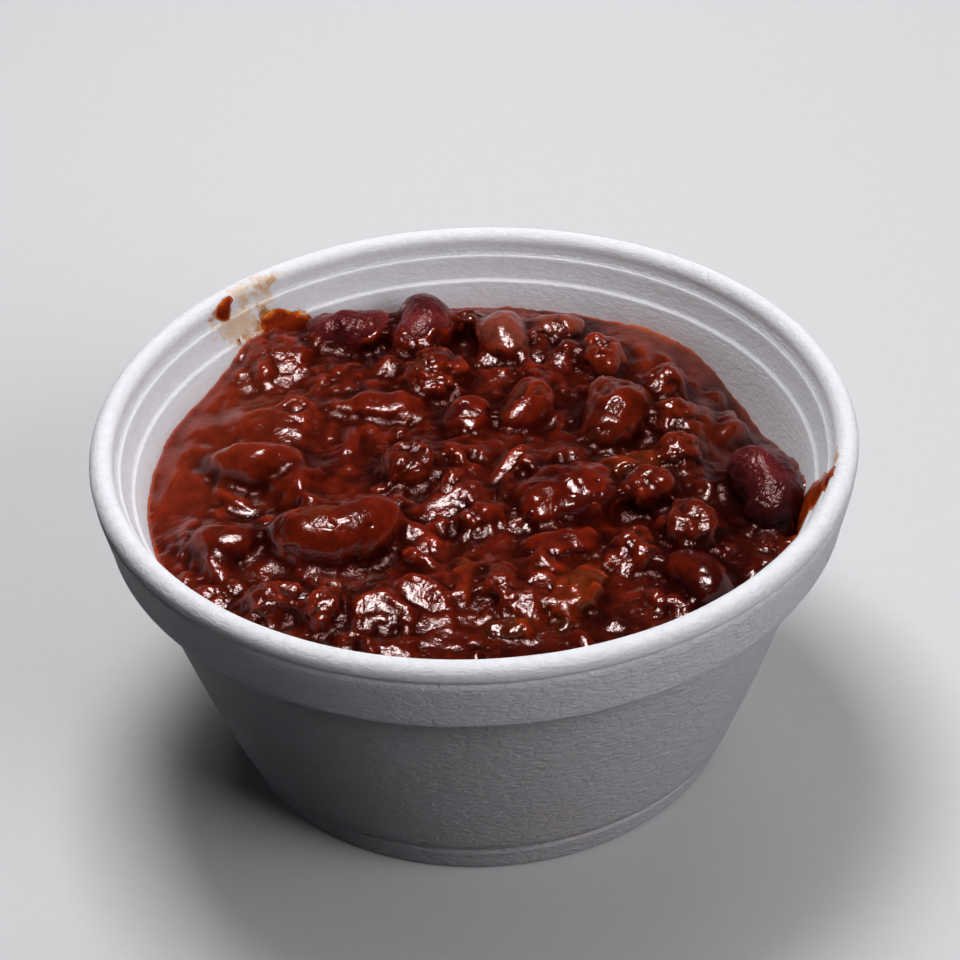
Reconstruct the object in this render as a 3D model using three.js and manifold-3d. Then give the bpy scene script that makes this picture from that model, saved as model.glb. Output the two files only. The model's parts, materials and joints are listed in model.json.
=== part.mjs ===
// Chili con carne in a squat foam bowl: kidney beans, minced meat, onion and tomato in a thick red sauce.
// Units are millimetres and +Z is up. The origin is the middle of the bowl's base, on the surface it stands on.
import * as THREE from "three";
import { mergeVertices } from "three/addons/utils/BufferGeometryUtils.js";
import Module from "manifold-3d";

// ---------------------------------------------------------------- driving dimensions

const BOWL_HEIGHT = 55.6;
const BASE_RADIUS = 39.7; // of the foot ring, where it meets the table
const FOOT_HEIGHT = 5.9; // up to the fine groove above the foot
const FOOT_RADIUS = 41.7; // of the wall just above that groove
const BASE_RECESS = 1; // depth of the hollow under the base
const BASE_RECESS_RADIUS = 33;
const FLOOR_THICKNESS = 3.2;
const WALL_BULGE = 0.6; // how far the wall's middle stands out from a straight cone
const COLLAR_BOTTOM = 43.2; // the thick collar under the rim starts at this height
const COLLAR_BOTTOM_RADIUS = 56.9;
const COLLAR_TOP_RADIUS = 58.6;
const UNDER_COLLAR_RADIUS = 53.3; // of the wall where it goes into the collar
const LIP_RADIUS = 58.75; // outer edge of the rolled lip, the widest place of the bowl
const LIP_WIDTH = 4.6;
const LIP_HEIGHT = 2.4;
const LID_STEP_DEPTHS = [3.5, 7.4]; // below the rim, the two fine steps that seat a lid
const LID_STEP_RADII = [54.2, 52.6];
const STEP_WIDTH = 0.9;
const INNER_TAPER = 0.32; // how much the inside widens for each millimetre of height
const BOWL_SIDES = 48;

const SAUCE_LEVEL = 43.4; // where the sauce meets the wall
const SAUCE_MOUND = 1.3; // how much higher the middle is heaped
const SAUCE_GRID = 3; // spacing of the points on the sauce's top
const CLEARANCE = 0.3; // between any two pieces that touch
const CRUMB_COUNT = 90; // meat crumbs and soft bits that are one with the sauce
const CRUMB_SEED = 7;

const BEAN_BEND = 0.14; // as shares of a bean's width: how far its ends swing round, and its dent
const BEAN_DENT = 0.1;
const BEAN_SIDES = 10;
const BEAN_RINGS = 7;
const SLAB_ROUNDING = 0.4; // how much thinner a soft slab is at its rim than in its middle

const COLOURS = {
  foam: 0xdcdde2,
  sauce: 0x5a1a10,
  bean: 0x6e2a1c,
  darkBean: 0x4a1a20,
  meat: 0x54221a,
  onion: 0xa04a1c,
  tomato: 0x8e2210,
};

// ---------------------------------------------------------------- where things lie

// Where the sauce stands higher or lower along the wall. Azimuth 0 is the front, 90 the right, 180 the back.
const WALL_RISES = [
  { azimuth: -139, rise: 4.6, width: 9 },
  { azimuth: -116, rise: 0.9, width: 14 },
  { azimuth: 112, rise: -4.4, width: 15 },
  { azimuth: 79, rise: 2, width: 9 },
  { azimuth: 140, rise: 0.9, width: 10 },
  { azimuth: -160, rise: 1.2, width: 9 },
];

// Broad swells and hollows in the sauce: the folds over what is sunk in it, and the pools between.
// turn swings the long axis from +X towards +Y.
const SWELLS = [
  { x: -29, y: 34, rise: 1.8, long: 7, wide: 5, turn: 40 },
  { x: -30, y: 17, rise: 2.4, long: 8, wide: 6, turn: 70 },
  { x: -21, y: 27, rise: 1.8, long: 6, wide: 5, turn: -10 },
  { x: -12, y: 31, rise: 2, long: 5, wide: 4, turn: 80 },
  { x: 11, y: 31, rise: 2.6, long: 6, wide: 4, turn: 80 },
  { x: 16.4, y: 33, rise: 1.8, long: 5, wide: 3.4, turn: 70 },
  { x: 36.4, y: 15, rise: 2.6, long: 13, wide: 2.8, turn: 78 },
  { x: 2, y: 7, rise: 1.6, long: 6, wide: 5, turn: 0 },
  { x: 9, y: 3, rise: 2.2, long: 7, wide: 3.6, turn: 30 },
  { x: -3, y: -6, rise: 1.6, long: 6, wide: 3, turn: 50 },
  { x: -9, y: -16, rise: 1.4, long: 5, wide: 3, turn: 80 },
  { x: -9, y: -29, rise: 2.4, long: 5.4, wide: 4.4, turn: 70 },
  { x: -16, y: -32, rise: 2.2, long: 5, wide: 4, turn: 60 },
  { x: 8.5, y: -28, rise: 2.4, long: 5, wide: 4, turn: 60 },
  { x: -41, y: -18, rise: 1.6, long: 7, wide: 4, turn: -60 },
  { x: 40, y: -17, rise: 1.6, long: 5, wide: 4, turn: 60 },
  { x: -27, y: 2, rise: 1.8, long: 5, wide: 4, turn: 0 },
  { x: 24, y: -10, rise: -2.8, long: 3.6, wide: 3.2, turn: 0 },
  { x: 22, y: 6, rise: -1.8, long: 6, wide: 2.6, turn: 0 },
  { x: -34, y: -4, rise: -1.8, long: 8, wide: 3, turn: 0 },
  { x: -13, y: -5, rise: -1.2, long: 4, wide: 3, turn: 0 },
  { x: 42, y: 5, rise: -1.4, long: 8, wide: 5, turn: 90 },
];

// Cooked kidney beans. tilt lifts the +X end of the long axis, and roll turns the bean over round that axis.
const BEANS = [
  { name: "bean_back_left", x: -19.8, y: 40.2, z: 46.6, length: 14.5, width: 8.6, turn: 4, tilt: 3, dark: true },
  { name: "bean_back", x: -7.4, y: 40, z: 47, length: 13.6, width: 10.2, turn: 78, tilt: 14, dark: true },
  { name: "bean_back_middle", x: 5.6, y: 36.2, z: 46.2, length: 12, width: 8.2, turn: -76, tilt: -14 },
  { name: "bean_back_right", x: 14.6, y: 39.6, z: 45.4, length: 10, width: 6.8, turn: 12, tilt: -4 },
  { name: "bean_middle", x: 8.8, y: 17.8, z: 45.2, length: 12.6, width: 8.6, turn: 66, tilt: 8 },
  { name: "bean_middle_right", x: 22.8, y: 14.6, z: 45.4, length: 16.6, width: 11.2, turn: 78, tilt: 6 },
  { name: "bean_right", x: 44.6, y: -7.6, z: 46.3, length: 16.2, width: 10.8, turn: 104, tilt: 18, dark: true },
  { name: "bean_left", x: -34.2, y: 5, z: 45.2, length: 14.6, width: 8.6, turn: -6, tilt: 4, dark: true },
  { name: "bean_front_left", x: -21.2, y: -14.6, z: 45.6, length: 21.4, width: 12.8, turn: 8, tilt: 4, roll: 16 },
  { name: "bean_left_front", x: -37.9, y: -14.2, z: 44.5, length: 11, width: 8, turn: -8, tilt: 4 },
  { name: "bean_front_right", x: 32.4, y: -26, z: 44, length: 13.4, width: 8.6, turn: 122, tilt: -6, dark: true },
];

// Lumps of minced meat, each a cluster of crumbs. The seed sets the lump's own unevenness.
const MEAT = [
  { name: "meat_back", x: 0.5, y: 42, z: 45.6, length: 5, width: 4.4, height: 5.6, turn: 0, seed: 9 },
  { name: "meat_back_clump", x: -5.6, y: 28, z: 45.2, length: 11.4, width: 9.6, height: 7.6, turn: 60, seed: 21 },
  { name: "meat_back_middle", x: 21.4, y: 31, z: 45, length: 8.6, width: 6.6, height: 6.4, turn: 60, seed: 13 },
  { name: "meat_back_right_1", x: 31, y: 21.8, z: 45, length: 8, width: 6.6, height: 6.8, turn: 80, seed: 6 },
  { name: "meat_back_right_2", x: 32, y: 12.8, z: 45, length: 7.8, width: 6.6, height: 6.4, turn: 70, seed: 7 },
  { name: "meat_back_right_3", x: 32, y: 4.4, z: 44.8, length: 7.2, width: 6.2, height: 6.2, turn: 100, seed: 8 },
  { name: "meat_middle_left", x: -9.6, y: 3.8, z: 45, length: 10, width: 8, height: 6.6, turn: 10, seed: 22 },
  { name: "meat_middle", x: 1.6, y: -10.6, z: 44.8, length: 8.4, width: 6, height: 5.6, turn: 10, seed: 3 },
  { name: "meat_inner_right", x: 26.8, y: -5.4, z: 45.8, length: 7.4, width: 6, height: 5.4, turn: 15, seed: 2 },
  { name: "meat_right", x: 32.6, y: -15, z: 45.2, length: 10.6, width: 8.4, height: 7.4, turn: 100, seed: 1 },
  { name: "meat_front_right", x: 23.6, y: -19, z: 44.2, length: 8.4, width: 6.2, height: 6, turn: 80, seed: 4 },
  { name: "meat_front", x: 3, y: -27.6, z: 44.6, length: 7, width: 5.6, height: 5.6, turn: 80, seed: 5 },
  { name: "meat_left_1", x: -30.8, y: -28, z: 44, length: 8.4, width: 6.6, height: 6, turn: -40, seed: 10 },
  { name: "meat_left_2", x: -22.6, y: -30.4, z: 44.2, length: 7.6, width: 6.4, height: 6, turn: 75, seed: 11 },
];

// Softened pieces of onion and tomato: bent slabs. arc is how far each one curls round along its length.
const ONION = [
  { name: "onion_front", x: 14.8, y: -28.8, z: 45, length: 17, width: 5, height: 3.2, turn: 62, arc: 60 },
  { name: "onion_front_chip", x: 4.2, y: -36.4, z: 44.2, length: 6, width: 4.8, height: 3.2, turn: 10, arc: 20 },
  { name: "onion_front_strip", x: -2, y: -25.6, z: 45, length: 13, width: 3.6, height: 3, turn: 86, arc: 16 },
  { name: "onion_right", x: 23.8, y: 1.2, z: 45.4, length: 8, width: 5.6, height: 3.6, turn: 24, arc: 30 },
  { name: "onion_back_strip", x: -15, y: 20, z: 45.4, length: 15, width: 5, height: 3.4, turn: -3, arc: 14 },
];
const TOMATO = [
  { name: "tomato_middle", x: -0.6, y: 16, z: 45.2, length: 9, width: 6.4, height: 5.4, turn: 70, arc: 30 },
  { name: "tomato_chunk", x: 13.6, y: -6.6, z: 45.6, length: 15.4, width: 11.2, height: 7.4, turn: 30, arc: 26 },
  { name: "tomato_skin", x: 12.4, y: -18.4, z: 46, length: 9.6, width: 6.6, height: 2.6, turn: 12, arc: 60 },
];

// ---------------------------------------------------------------- small helpers

const degrees = THREE.MathUtils.degToRad;

function seededRandom(seed) {
  let state = seed * 7919 + 17;
  return () => {
    state = (state * 16807) % 2147483647;
    return state / 2147483647;
  };
}

function smoothstep(low, high, value) {
  return THREE.MathUtils.smoothstep(value, low, high);
}

function material(colour, roughness) {
  return new THREE.MeshStandardMaterial({ color: colour, roughness, metalness: 0 });
}

function named(name, geometry, look) {
  const mesh = new THREE.Mesh(geometry, look);
  mesh.name = name;
  return mesh;
}

// Moves each vertex of a geometry by a function that changes the vector it is given.
function reshape(geometry, move) {
  const places = geometry.getAttribute("position");
  const point = new THREE.Vector3();
  for (let i = 0; i < places.count; i += 1) {
    point.fromBufferAttribute(places, i);
    move(point);
    places.setXYZ(i, point.x, point.y, point.z);
  }
  return geometry;
}

// A closed shell with only shared positions left, as a Boolean join or cut needs it.
function shared(geometry) {
  const bare = geometry.clone();
  bare.deleteAttribute("normal");
  bare.deleteAttribute("uv");
  return mergeVertices(bare, 1e-4);
}

const wasm = await Module();
wasm.setup();

function toSolid(geometry) {
  const merged = shared(geometry);
  const vertProperties = new Float32Array(merged.getAttribute("position").array);
  const triVerts = new Uint32Array(merged.index.array);
  return new wasm.Manifold(new wasm.Mesh({ numProp: 3, vertProperties, triVerts }));
}

function toGeometry(solid) {
  const mesh = solid.getMesh();
  const geometry = new THREE.BufferGeometry();
  geometry.setAttribute("position", new THREE.BufferAttribute(mesh.vertProperties, 3));
  geometry.setIndex(new THREE.BufferAttribute(mesh.triVerts, 1));
  geometry.computeVertexNormals();
  return geometry;
}

function largestBody(solid) {
  return solid.decompose().reduce((best, body) => (body.volume() > best.volume() ? body : best));
}

// Turns a profile of [radius, height] pairs round the Z axis.
function turned(profile) {
  const points = profile.map(([radius, height]) => new THREE.Vector2(radius, height));
  return new THREE.LatheGeometry(points, BOWL_SIDES).rotateX(Math.PI / 2);
}

// ---------------------------------------------------------------- the bowl

const lastStepDepth = LID_STEP_DEPTHS[1] + STEP_WIDTH / 2;
const innerTop = BOWL_HEIGHT - lastStepDepth;
const innerTopRadius = LID_STEP_RADII[1] - STEP_WIDTH / 2;

function innerRadius(height) {
  return innerTopRadius + INNER_TAPER * (height - innerTop);
}

function wallRadius(height) {
  const share = (height - FOOT_HEIGHT) / (COLLAR_BOTTOM - FOOT_HEIGHT);
  const cone = THREE.MathUtils.lerp(FOOT_RADIUS, UNDER_COLLAR_RADIUS, share);
  return cone + WALL_BULGE * Math.sin(Math.PI * share);
}

// The inside of the bowl from its lowest lid step down to the middle of the floor, shrunk by a gap.
function insideProfile(gap) {
  const floor = FLOOR_THICKNESS + gap;
  const cornerTop = FLOOR_THICKNESS + 5.5;
  const cornerRadius = innerRadius(cornerTop) - gap;
  return [
    [innerRadius(innerTop) - gap, innerTop],
    [cornerRadius, cornerTop],
    [cornerRadius - 1.6, floor + 1.6],
    [cornerRadius - 5, floor],
    [0, floor],
  ];
}

function foamBowl() {
  const rim = BOWL_HEIGHT;
  const lipMiddle = LIP_RADIUS - LIP_WIDTH / 2;
  const foot = [
    [0, BASE_RECESS],
    [BASE_RECESS_RADIUS, BASE_RECESS],
    [BASE_RECESS_RADIUS + 1, 0],
    [BASE_RADIUS - 1.1, 0],
    [BASE_RADIUS, 0.9],
    [FOOT_RADIUS - 0.5, FOOT_HEIGHT - 0.9],
    [FOOT_RADIUS - 0.7, FOOT_HEIGHT - 0.3],
  ];
  const wall = [0, 0.33, 0.66, 1].map((share) => {
    const height = THREE.MathUtils.lerp(FOOT_HEIGHT, COLLAR_BOTTOM - 0.6, share);
    return [wallRadius(height), height];
  });
  const collar = [
    [COLLAR_BOTTOM_RADIUS - 0.9, COLLAR_BOTTOM],
    [COLLAR_BOTTOM_RADIUS, COLLAR_BOTTOM + 1],
    [COLLAR_TOP_RADIUS, rim - LIP_HEIGHT - 0.9],
    [COLLAR_TOP_RADIUS - 0.35, rim - LIP_HEIGHT - 0.2],
  ];
  const lip = [-8, 35, 68, 100, 140].map((angle) => [
    lipMiddle + (LIP_WIDTH / 2) * Math.cos(degrees(angle)),
    rim - LIP_HEIGHT + 0.6 + (LIP_HEIGHT - 0.6) * Math.sin(degrees(angle)),
  ]);
  const lipInner = LIP_RADIUS - LIP_WIDTH;
  const lidSeat = [
    [lipInner - 0.05, rim - 1.3],
    [lipInner + 0.5, rim - 2.1],
    [LID_STEP_RADII[0] + 0.3, rim - LID_STEP_DEPTHS[0] + 0.3],
    [LID_STEP_RADII[0] - 0.5, rim - LID_STEP_DEPTHS[0] - 0.3],
    [LID_STEP_RADII[1] + 0.4, rim - LID_STEP_DEPTHS[1] + 0.3],
  ];
  return turned([...foot, ...wall, ...collar, ...lip, ...lidSeat, ...insideProfile(0)]);
}

// ---------------------------------------------------------------- beans, meat, onion and tomato

// A kidney bean of length and width, a little less thick than wide, bent round the dent of its eye.
function kidneyBean({ length, width }, gap = 0) {
  const half = new THREE.Vector3(length / 2 + gap, width / 2 + gap, 0.46 * width + gap);
  return reshape(new THREE.SphereGeometry(1, BEAN_SIDES, BEAN_RINGS).rotateZ(Math.PI / 2), (p) => {
    const endShare = p.x * p.x;
    const plump = 1 + 0.1 * endShare;
    p.multiply(half);
    p.y *= plump;
    p.z *= plump;
    p.y += BEAN_BEND * width * endShare;
    if (p.y > 0) p.y -= BEAN_DENT * width * Math.exp(-9 * endShare);
  });
}

// An uneven lump: a ball pushed in and out by a few waves that its seed sets.
function meatLump({ length, width, height, seed }, gap = 0) {
  const random = seededRandom(seed);
  const waves = Array.from({ length: 5 }, () => ({
    way: new THREE.Vector3(random() - 0.5, random() - 0.5, random() - 0.5).normalize(),
    count: 2.2 + 2.6 * random(),
    start: 6.3 * random(),
  }));
  const half = new THREE.Vector3(length / 2, width / 2, height / 2);
  return reshape(new THREE.IcosahedronGeometry(1, 1), (p) => {
    const push = waves.reduce((sum, wave) => sum + Math.sin(wave.count * p.dot(wave.way) * 2 + wave.start), 0);
    const away = p.clone();
    p.multiply(half).multiplyScalar(1 + 0.06 * push);
    p.addScaledVector(away, gap);
  });
}

// A soft slab with rounded ends that curls downwards along its length.
function softSlab({ length, width, height, arc }, gap = 0) {
  const half = new THREE.Vector3(length / 2 + gap, width / 2 + gap, height / 2 + gap);
  const radius = length / degrees(arc);
  return reshape(new THREE.BoxGeometry(2, 2, 2, 6, 2, 1), (p) => {
    const slimmed = 1 - SLAB_ROUNDING * p.x * p.x;
    const thinned = 1 - SLAB_ROUNDING * Math.max(p.x * p.x, p.y * p.y);
    p.y *= slimmed;
    p.z *= thinned;
    p.multiply(half);
    const angle = p.x / radius;
    const reach = radius + p.z;
    p.x = reach * Math.sin(angle);
    p.z = reach * Math.cos(angle) - radius;
  });
}

// ---------------------------------------------------------------- the sauce

const crumbs = (() => {
  const random = seededRandom(CRUMB_SEED);
  return Array.from({ length: CRUMB_COUNT }, () => {
    const reach = innerRadius(SAUCE_LEVEL) * Math.sqrt(random());
    const angle = 2 * Math.PI * random();
    return {
      x: reach * Math.cos(angle),
      y: reach * Math.sin(angle),
      rise: 0.8 + 1.2 * random(),
      long: 3 + 1.8 * random(),
      wide: 2.6 + 1.2 * random(),
      turn: 180 * random(),
    };
  });
})();

// How high a rounded lump stands at a place: all of its rise in the middle, none past its edge.
function lumpHeight({ x, y, rise, long, wide, turn }, atX, atY) {
  const cos = Math.cos(degrees(turn));
  const sin = Math.sin(degrees(turn));
  const u = ((atX - x) * cos + (atY - y) * sin) / long;
  const v = ((atY - y) * cos - (atX - x) * sin) / wide;
  return rise * Math.exp(-1.4 * (u * u + v * v));
}

function wallRise({ azimuth, rise, width }, atX, atY) {
  const here = THREE.MathUtils.radToDeg(Math.atan2(atX, -atY));
  const apart = THREE.MathUtils.euclideanModulo(here - azimuth + 180, 360) - 180;
  return rise * Math.exp(-((apart / width) ** 2));
}

function sauceHeight(x, y) {
  const share = Math.hypot(x, y) / innerRadius(SAUCE_LEVEL);
  const nearWall = smoothstep(0.72, 0.98, share);
  const atWall = WALL_RISES.reduce((sum, spot) => sum + wallRise(spot, x, y), 0);
  const mound = SAUCE_MOUND * Math.max(0, 1 - share * share);
  const swell = SWELLS.reduce((sum, spot) => sum + lumpHeight(spot, x, y), 0);
  const crumb = crumbs.reduce((most, spot) => Math.max(most, lumpHeight(spot, x, y)), 0);
  return SAUCE_LEVEL + mound + nearWall * atWall + (1 - nearWall) * swell + (1 - 0.7 * nearWall) * crumb;
}

// The sauce fills the bowl up to its uneven top, and is cut round the pieces that lie in it.
function sauceBody(pieces) {
  const across = 2 * innerRadius(innerTop);
  const steps = Math.round(across / SAUCE_GRID);
  const slab = reshape(new THREE.BoxGeometry(across, across, 2, steps, steps, 1), (p) => {
    p.z = p.z > 0 ? sauceHeight(p.x, p.y) : 0;
  });
  const fill = toSolid(turned([...insideProfile(CLEARANCE).reverse(), [0, innerTop]]));
  const poured = toSolid(slab).intersect(fill);
  return toGeometry(largestBody(pieces.reduce((rest, piece) => rest.subtract(piece), poured)));
}

// ---------------------------------------------------------------- putting it together

const looks = {
  foam: material(COLOURS.foam, 0.6),
  sauce: material(COLOURS.sauce, 0.25),
  bean: material(COLOURS.bean, 0.3),
  darkBean: material(COLOURS.darkBean, 0.3),
  meat: material(COLOURS.meat, 0.4),
  onion: material(COLOURS.onion, 0.25),
  tomato: material(COLOURS.tomato, 0.25),
};

// Makes a piece and, for cutting the sauce, the same piece grown by the gap and placed in the bowl.
function placed(spec, shape, look) {
  const mesh = named(spec.name, shape(spec), look);
  mesh.position.set(spec.x, spec.y, spec.z);
  mesh.rotation.set(degrees(spec.roll ?? 0), degrees(-(spec.tilt ?? 0)), degrees(spec.turn), "ZYX");
  mesh.updateMatrix();
  const room = toSolid(shape(spec, CLEARANCE).applyMatrix4(mesh.matrix));
  return { mesh, room };
}

const pieces = [
  ...BEANS.map((spec) => placed(spec, kidneyBean, spec.dark ? looks.darkBean : looks.bean)),
  ...MEAT.map((spec) => placed(spec, meatLump, looks.meat)),
  ...ONION.map((spec) => placed(spec, softSlab, looks.onion)),
  ...TOMATO.map((spec) => placed(spec, softSlab, looks.tomato)),
];

const filledBowl = new THREE.Group();
filledBowl.add(named("foam_bowl", foamBowl(), looks.foam));
filledBowl.add(named("chili_sauce", sauceBody(pieces.map((piece) => piece.room)), looks.sauce));
pieces.forEach((piece) => filledBowl.add(piece.mesh));

export default filledBowl;
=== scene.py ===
# %% [markdown]
# # Chili con carne in a foam bowl
# A takeaway bowl of expanded polystyrene, filled with thick chili: kidney beans, minced meat, onion and
# tomato in a glossy red-brown sauce. The solids of the bowl and of every piece of food are loaded first,
# and everything made here is built on them, so each piece keeps its place and its size.

# %% Load the solids
import json
import math
import random

import bmesh
import bpy
import numpy as np
from mathutils import Matrix, Vector, noise
from mathutils.bvhtree import BVHTree


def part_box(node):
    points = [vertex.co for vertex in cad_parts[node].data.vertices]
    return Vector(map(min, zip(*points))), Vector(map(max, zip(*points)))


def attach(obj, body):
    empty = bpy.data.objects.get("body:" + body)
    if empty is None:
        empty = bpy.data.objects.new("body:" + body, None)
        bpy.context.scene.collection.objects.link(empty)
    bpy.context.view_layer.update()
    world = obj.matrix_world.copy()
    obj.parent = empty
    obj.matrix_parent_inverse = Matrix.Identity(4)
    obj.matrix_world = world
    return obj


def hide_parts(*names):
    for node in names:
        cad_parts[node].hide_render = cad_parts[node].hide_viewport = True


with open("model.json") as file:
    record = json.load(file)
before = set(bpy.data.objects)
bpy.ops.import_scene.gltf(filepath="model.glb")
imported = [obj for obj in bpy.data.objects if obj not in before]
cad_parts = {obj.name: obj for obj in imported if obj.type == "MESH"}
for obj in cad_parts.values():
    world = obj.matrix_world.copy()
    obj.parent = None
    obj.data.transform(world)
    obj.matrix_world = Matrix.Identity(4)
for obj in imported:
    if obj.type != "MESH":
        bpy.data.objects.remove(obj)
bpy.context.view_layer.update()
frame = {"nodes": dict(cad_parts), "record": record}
MM = 0.001
NOISE_SEED = 7
noise.seed_set(NOISE_SEED)  # the noise vectors would differ from run to run without it
NODES = sorted(frame["nodes"])
FOOD = [name for name in NODES if name not in ("foam_bowl", "chili_sauce")]
print("solids:", len(NODES), "of them food lumps:", len(FOOD))

# %% [markdown]
# ## Camera
# The bowl is looked at from the front and from well above its rim, with a long lens from half a metre away,
# so the round rim shows as a wide ellipse and the far wall is seen from inside. The camera hangs a little
# crooked, which is why the rim leans to the right.

# %% Camera
CAMERA_PLACE = Vector((0, -369.75, 316.1)) * MM
CAMERA_AIM = Vector((0, 0, 30)) * MM
CAMERA_TURNS = {"Z": 0.0398, "X": -0.0257, "Y": 0.0017}
CAMERA_LENS = 110.94


def camera_matrix():
    """Looks from the place to the aim point with +Z up, then turns a little about the camera's own axes."""
    forward = (CAMERA_AIM - CAMERA_PLACE).normalized()
    right = forward.cross(Vector((0, 0, 1))).normalized()
    up = right.cross(forward)
    rows = Matrix((right, up, -forward))
    for axis in ("Y", "X", "Z"):
        rows = Matrix.Rotation(CAMERA_TURNS[axis], 3, axis) @ rows
    return Matrix.Translation(CAMERA_PLACE) @ rows.transposed().to_4x4()


camera = bpy.data.objects.new("camera", bpy.data.cameras.new("camera"))
camera.data.lens = CAMERA_LENS
camera.data.clip_start = 0.01
camera.matrix_world = camera_matrix()
bpy.context.scene.collection.objects.link(camera)
bpy.context.scene.camera = camera
print("camera distance, m:", round((CAMERA_AIM - CAMERA_PLACE).length, 3))

# %% [markdown]
# ## Helpers for shapes
# A shape is worked on as a bmesh and turned into an object once. Modifiers that only shape a piece are
# applied at once, so that the next step can work on the mesh that they made.

# %% Helpers for shapes


def new_object(name, bm):
    """Turns a bmesh into a smooth-shaded object at the origin."""
    mesh = bpy.data.meshes.new(name)
    bm.to_mesh(mesh)
    bm.free()
    mesh.shade_smooth()
    obj = bpy.data.objects.new(name, mesh)
    bpy.context.scene.collection.objects.link(obj)
    return obj


def with_modifier(obj, kind, **settings):
    """Applies one modifier to an object and returns the object."""
    modifier = obj.modifiers.new(kind.lower(), kind)
    for key, value in settings.items():
        setattr(modifier, key, value)
    graph = bpy.context.evaluated_depsgraph_get()
    mesh = bpy.data.meshes.new_from_object(obj.evaluated_get(graph))
    obj.modifiers.clear()
    old = obj.data
    obj.data = mesh
    mesh.name = obj.name
    bpy.data.meshes.remove(old)
    mesh.shade_smooth()
    return obj


def solid_copy(node):
    """A merged, editable copy of a CAD solid, whose own mesh stays as it is."""
    bm = bmesh.new()
    bm.from_mesh(frame["nodes"][node].data)
    bmesh.ops.remove_doubles(bm, verts=bm.verts, dist=1e-6)
    return bm


def points_of(obj):
    """All vertex places of an object as rows of an array."""
    flat = np.empty(len(obj.data.vertices) * 3, np.float32)
    obj.data.vertices.foreach_get("co", flat)
    return flat.reshape(-1, 3).astype(float)


def normals_of(obj):
    """All vertex normals of an object as rows of an array."""
    flat = np.empty(len(obj.data.vertices) * 3, np.float32)
    obj.data.vertex_normals.foreach_get("vector", flat)
    return flat.reshape(-1, 3).astype(float)


def set_points(obj, points):
    """Moves all vertices of an object to new places."""
    obj.data.vertices.foreach_set("co", points.astype(np.float32).ravel())
    obj.data.update()


def waves(points, size, seed=0.0, octaves=1):
    """Smooth noise from about -1 to 1 at each point, with lumps about size metres across."""
    shift = Vector((seed * 7.13, seed * 3.71, seed * 5.37))
    values = [noise.fractal(Vector(p) / size + shift, 1.0, 2.1, octaves) for p in points]
    return np.array(values)


def tree_of(obj):
    """A search tree of an object's surface."""
    bm = bmesh.new()
    bm.from_mesh(obj.data)
    tree = BVHTree.FromBMesh(bm)
    bm.free()
    return tree


# %% [markdown]
# ## Helpers for materials
# Colours are written as they look on a screen, in hex, and turned to the linear values that a shader
# computes with. One function adds any node, with its settings and with what feeds its sockets.

# %% Helpers for materials


def colour(hex_code):
    """An sRGB hex colour as linear red, green, blue and alpha."""
    parts = [int(hex_code[i : i + 2], 16) / 255 for i in (1, 3, 5)]
    linear = [c / 12.92 if c <= 0.04045 else ((c + 0.055) / 1.055) ** 2.4 for c in parts]
    return (*linear, 1.0)


def add(tree, kind, inputs=None, **settings):
    """Adds one node. settings are its own properties, and inputs gives sockets a value or another socket."""
    node = tree.nodes.new("ShaderNode" + kind)
    for key, value in settings.items():
        setattr(node, key, value)
    for socket, value in (inputs or {}).items():
        if isinstance(value, bpy.types.NodeSocket):
            tree.links.new(value, node.inputs[socket])
        else:
            node.inputs[socket].default_value = value
    return node


def new_material(name):
    """An empty node material with its output, and the tree to build in."""
    made = bpy.data.materials.new(name)
    made.use_nodes = True
    made.node_tree.nodes.clear()
    return made, made.node_tree


def close_material(tree, shader):
    """Sends the finished shader to the surface."""
    add(tree, "OutputMaterial", {"Surface": shader.outputs[0]})


MIX_A, MIX_B, MIX_COLOUR = 6, 7, 2  # the colour sockets of a Mix node

# %% [markdown]
# ## The foam bowl
# Such a bowl is steam-moulded from beads of expanded polystyrene. It tapers to a plain foot, and under the
# rolled lip a thicker collar makes it stiff. Inside, two fine steps seat a lid, and each shows as a bright
# line, because its ledge faces up. The bowl is round, so it could be a cone cut and bevelled many times, but
# one outline turned about the axis gives every edge at once: bmesh spins it and merges the last step with
# the first.

# %% Foam bowl: its outline
BOWL_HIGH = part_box("foam_bowl")[1]
RIM = BOWL_HIGH.z
LIP_RADIUS = BOWL_HIGH.x
LIP_WIDTH = 3.7 * MM
LIP_HEIGHT = 2.4 * MM
BASE_RADIUS = 39.7 * MM
BASE_RECESS = 1.0 * MM
BASE_RECESS_RADIUS = 33 * MM
FOOT_RADIUS = 41.7 * MM
FOOT_HEIGHT = 5.9 * MM
WALL_BULGE = 0.6 * MM
UNDER_COLLAR_RADIUS = 53.3 * MM
COLLAR_BOTTOM = 43.2 * MM
COLLAR_BOTTOM_RADIUS = 56.9 * MM
COLLAR_TOP_RADIUS = 58.6 * MM
LID_STEP_DEPTHS = (3.5 * MM, 7.4 * MM)
LID_STEP_RADII = (54.45 * MM, 52.6 * MM)
STEP_WIDTH = 0.9 * MM
INNER_TAPER = 0.32
FLOOR = 3.2 * MM
FLOOR_CORNER = 5.5 * MM
BASE_EDGE = 1.2 * MM
GROOVE_DEPTH = 0.75 * MM
COLLAR_EDGE = 1.1 * MM
BOWL_STEPS = 256


def inner_radius(height):
    """Radius of the bowl's inside at a height below the lid steps."""
    top = RIM - LID_STEP_DEPTHS[1] - STEP_WIDTH / 2
    return LID_STEP_RADII[1] - STEP_WIDTH / 2 + INNER_TAPER * (height - top)


def wall_radius(height):
    """Radius of the outer wall, a cone that swells a little."""
    share = (height - FOOT_HEIGHT) / (COLLAR_BOTTOM - FOOT_HEIGHT)
    return FOOT_RADIUS + (UNDER_COLLAR_RADIUS - FOOT_RADIUS) * share + WALL_BULGE * math.sin(math.pi * share)


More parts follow.
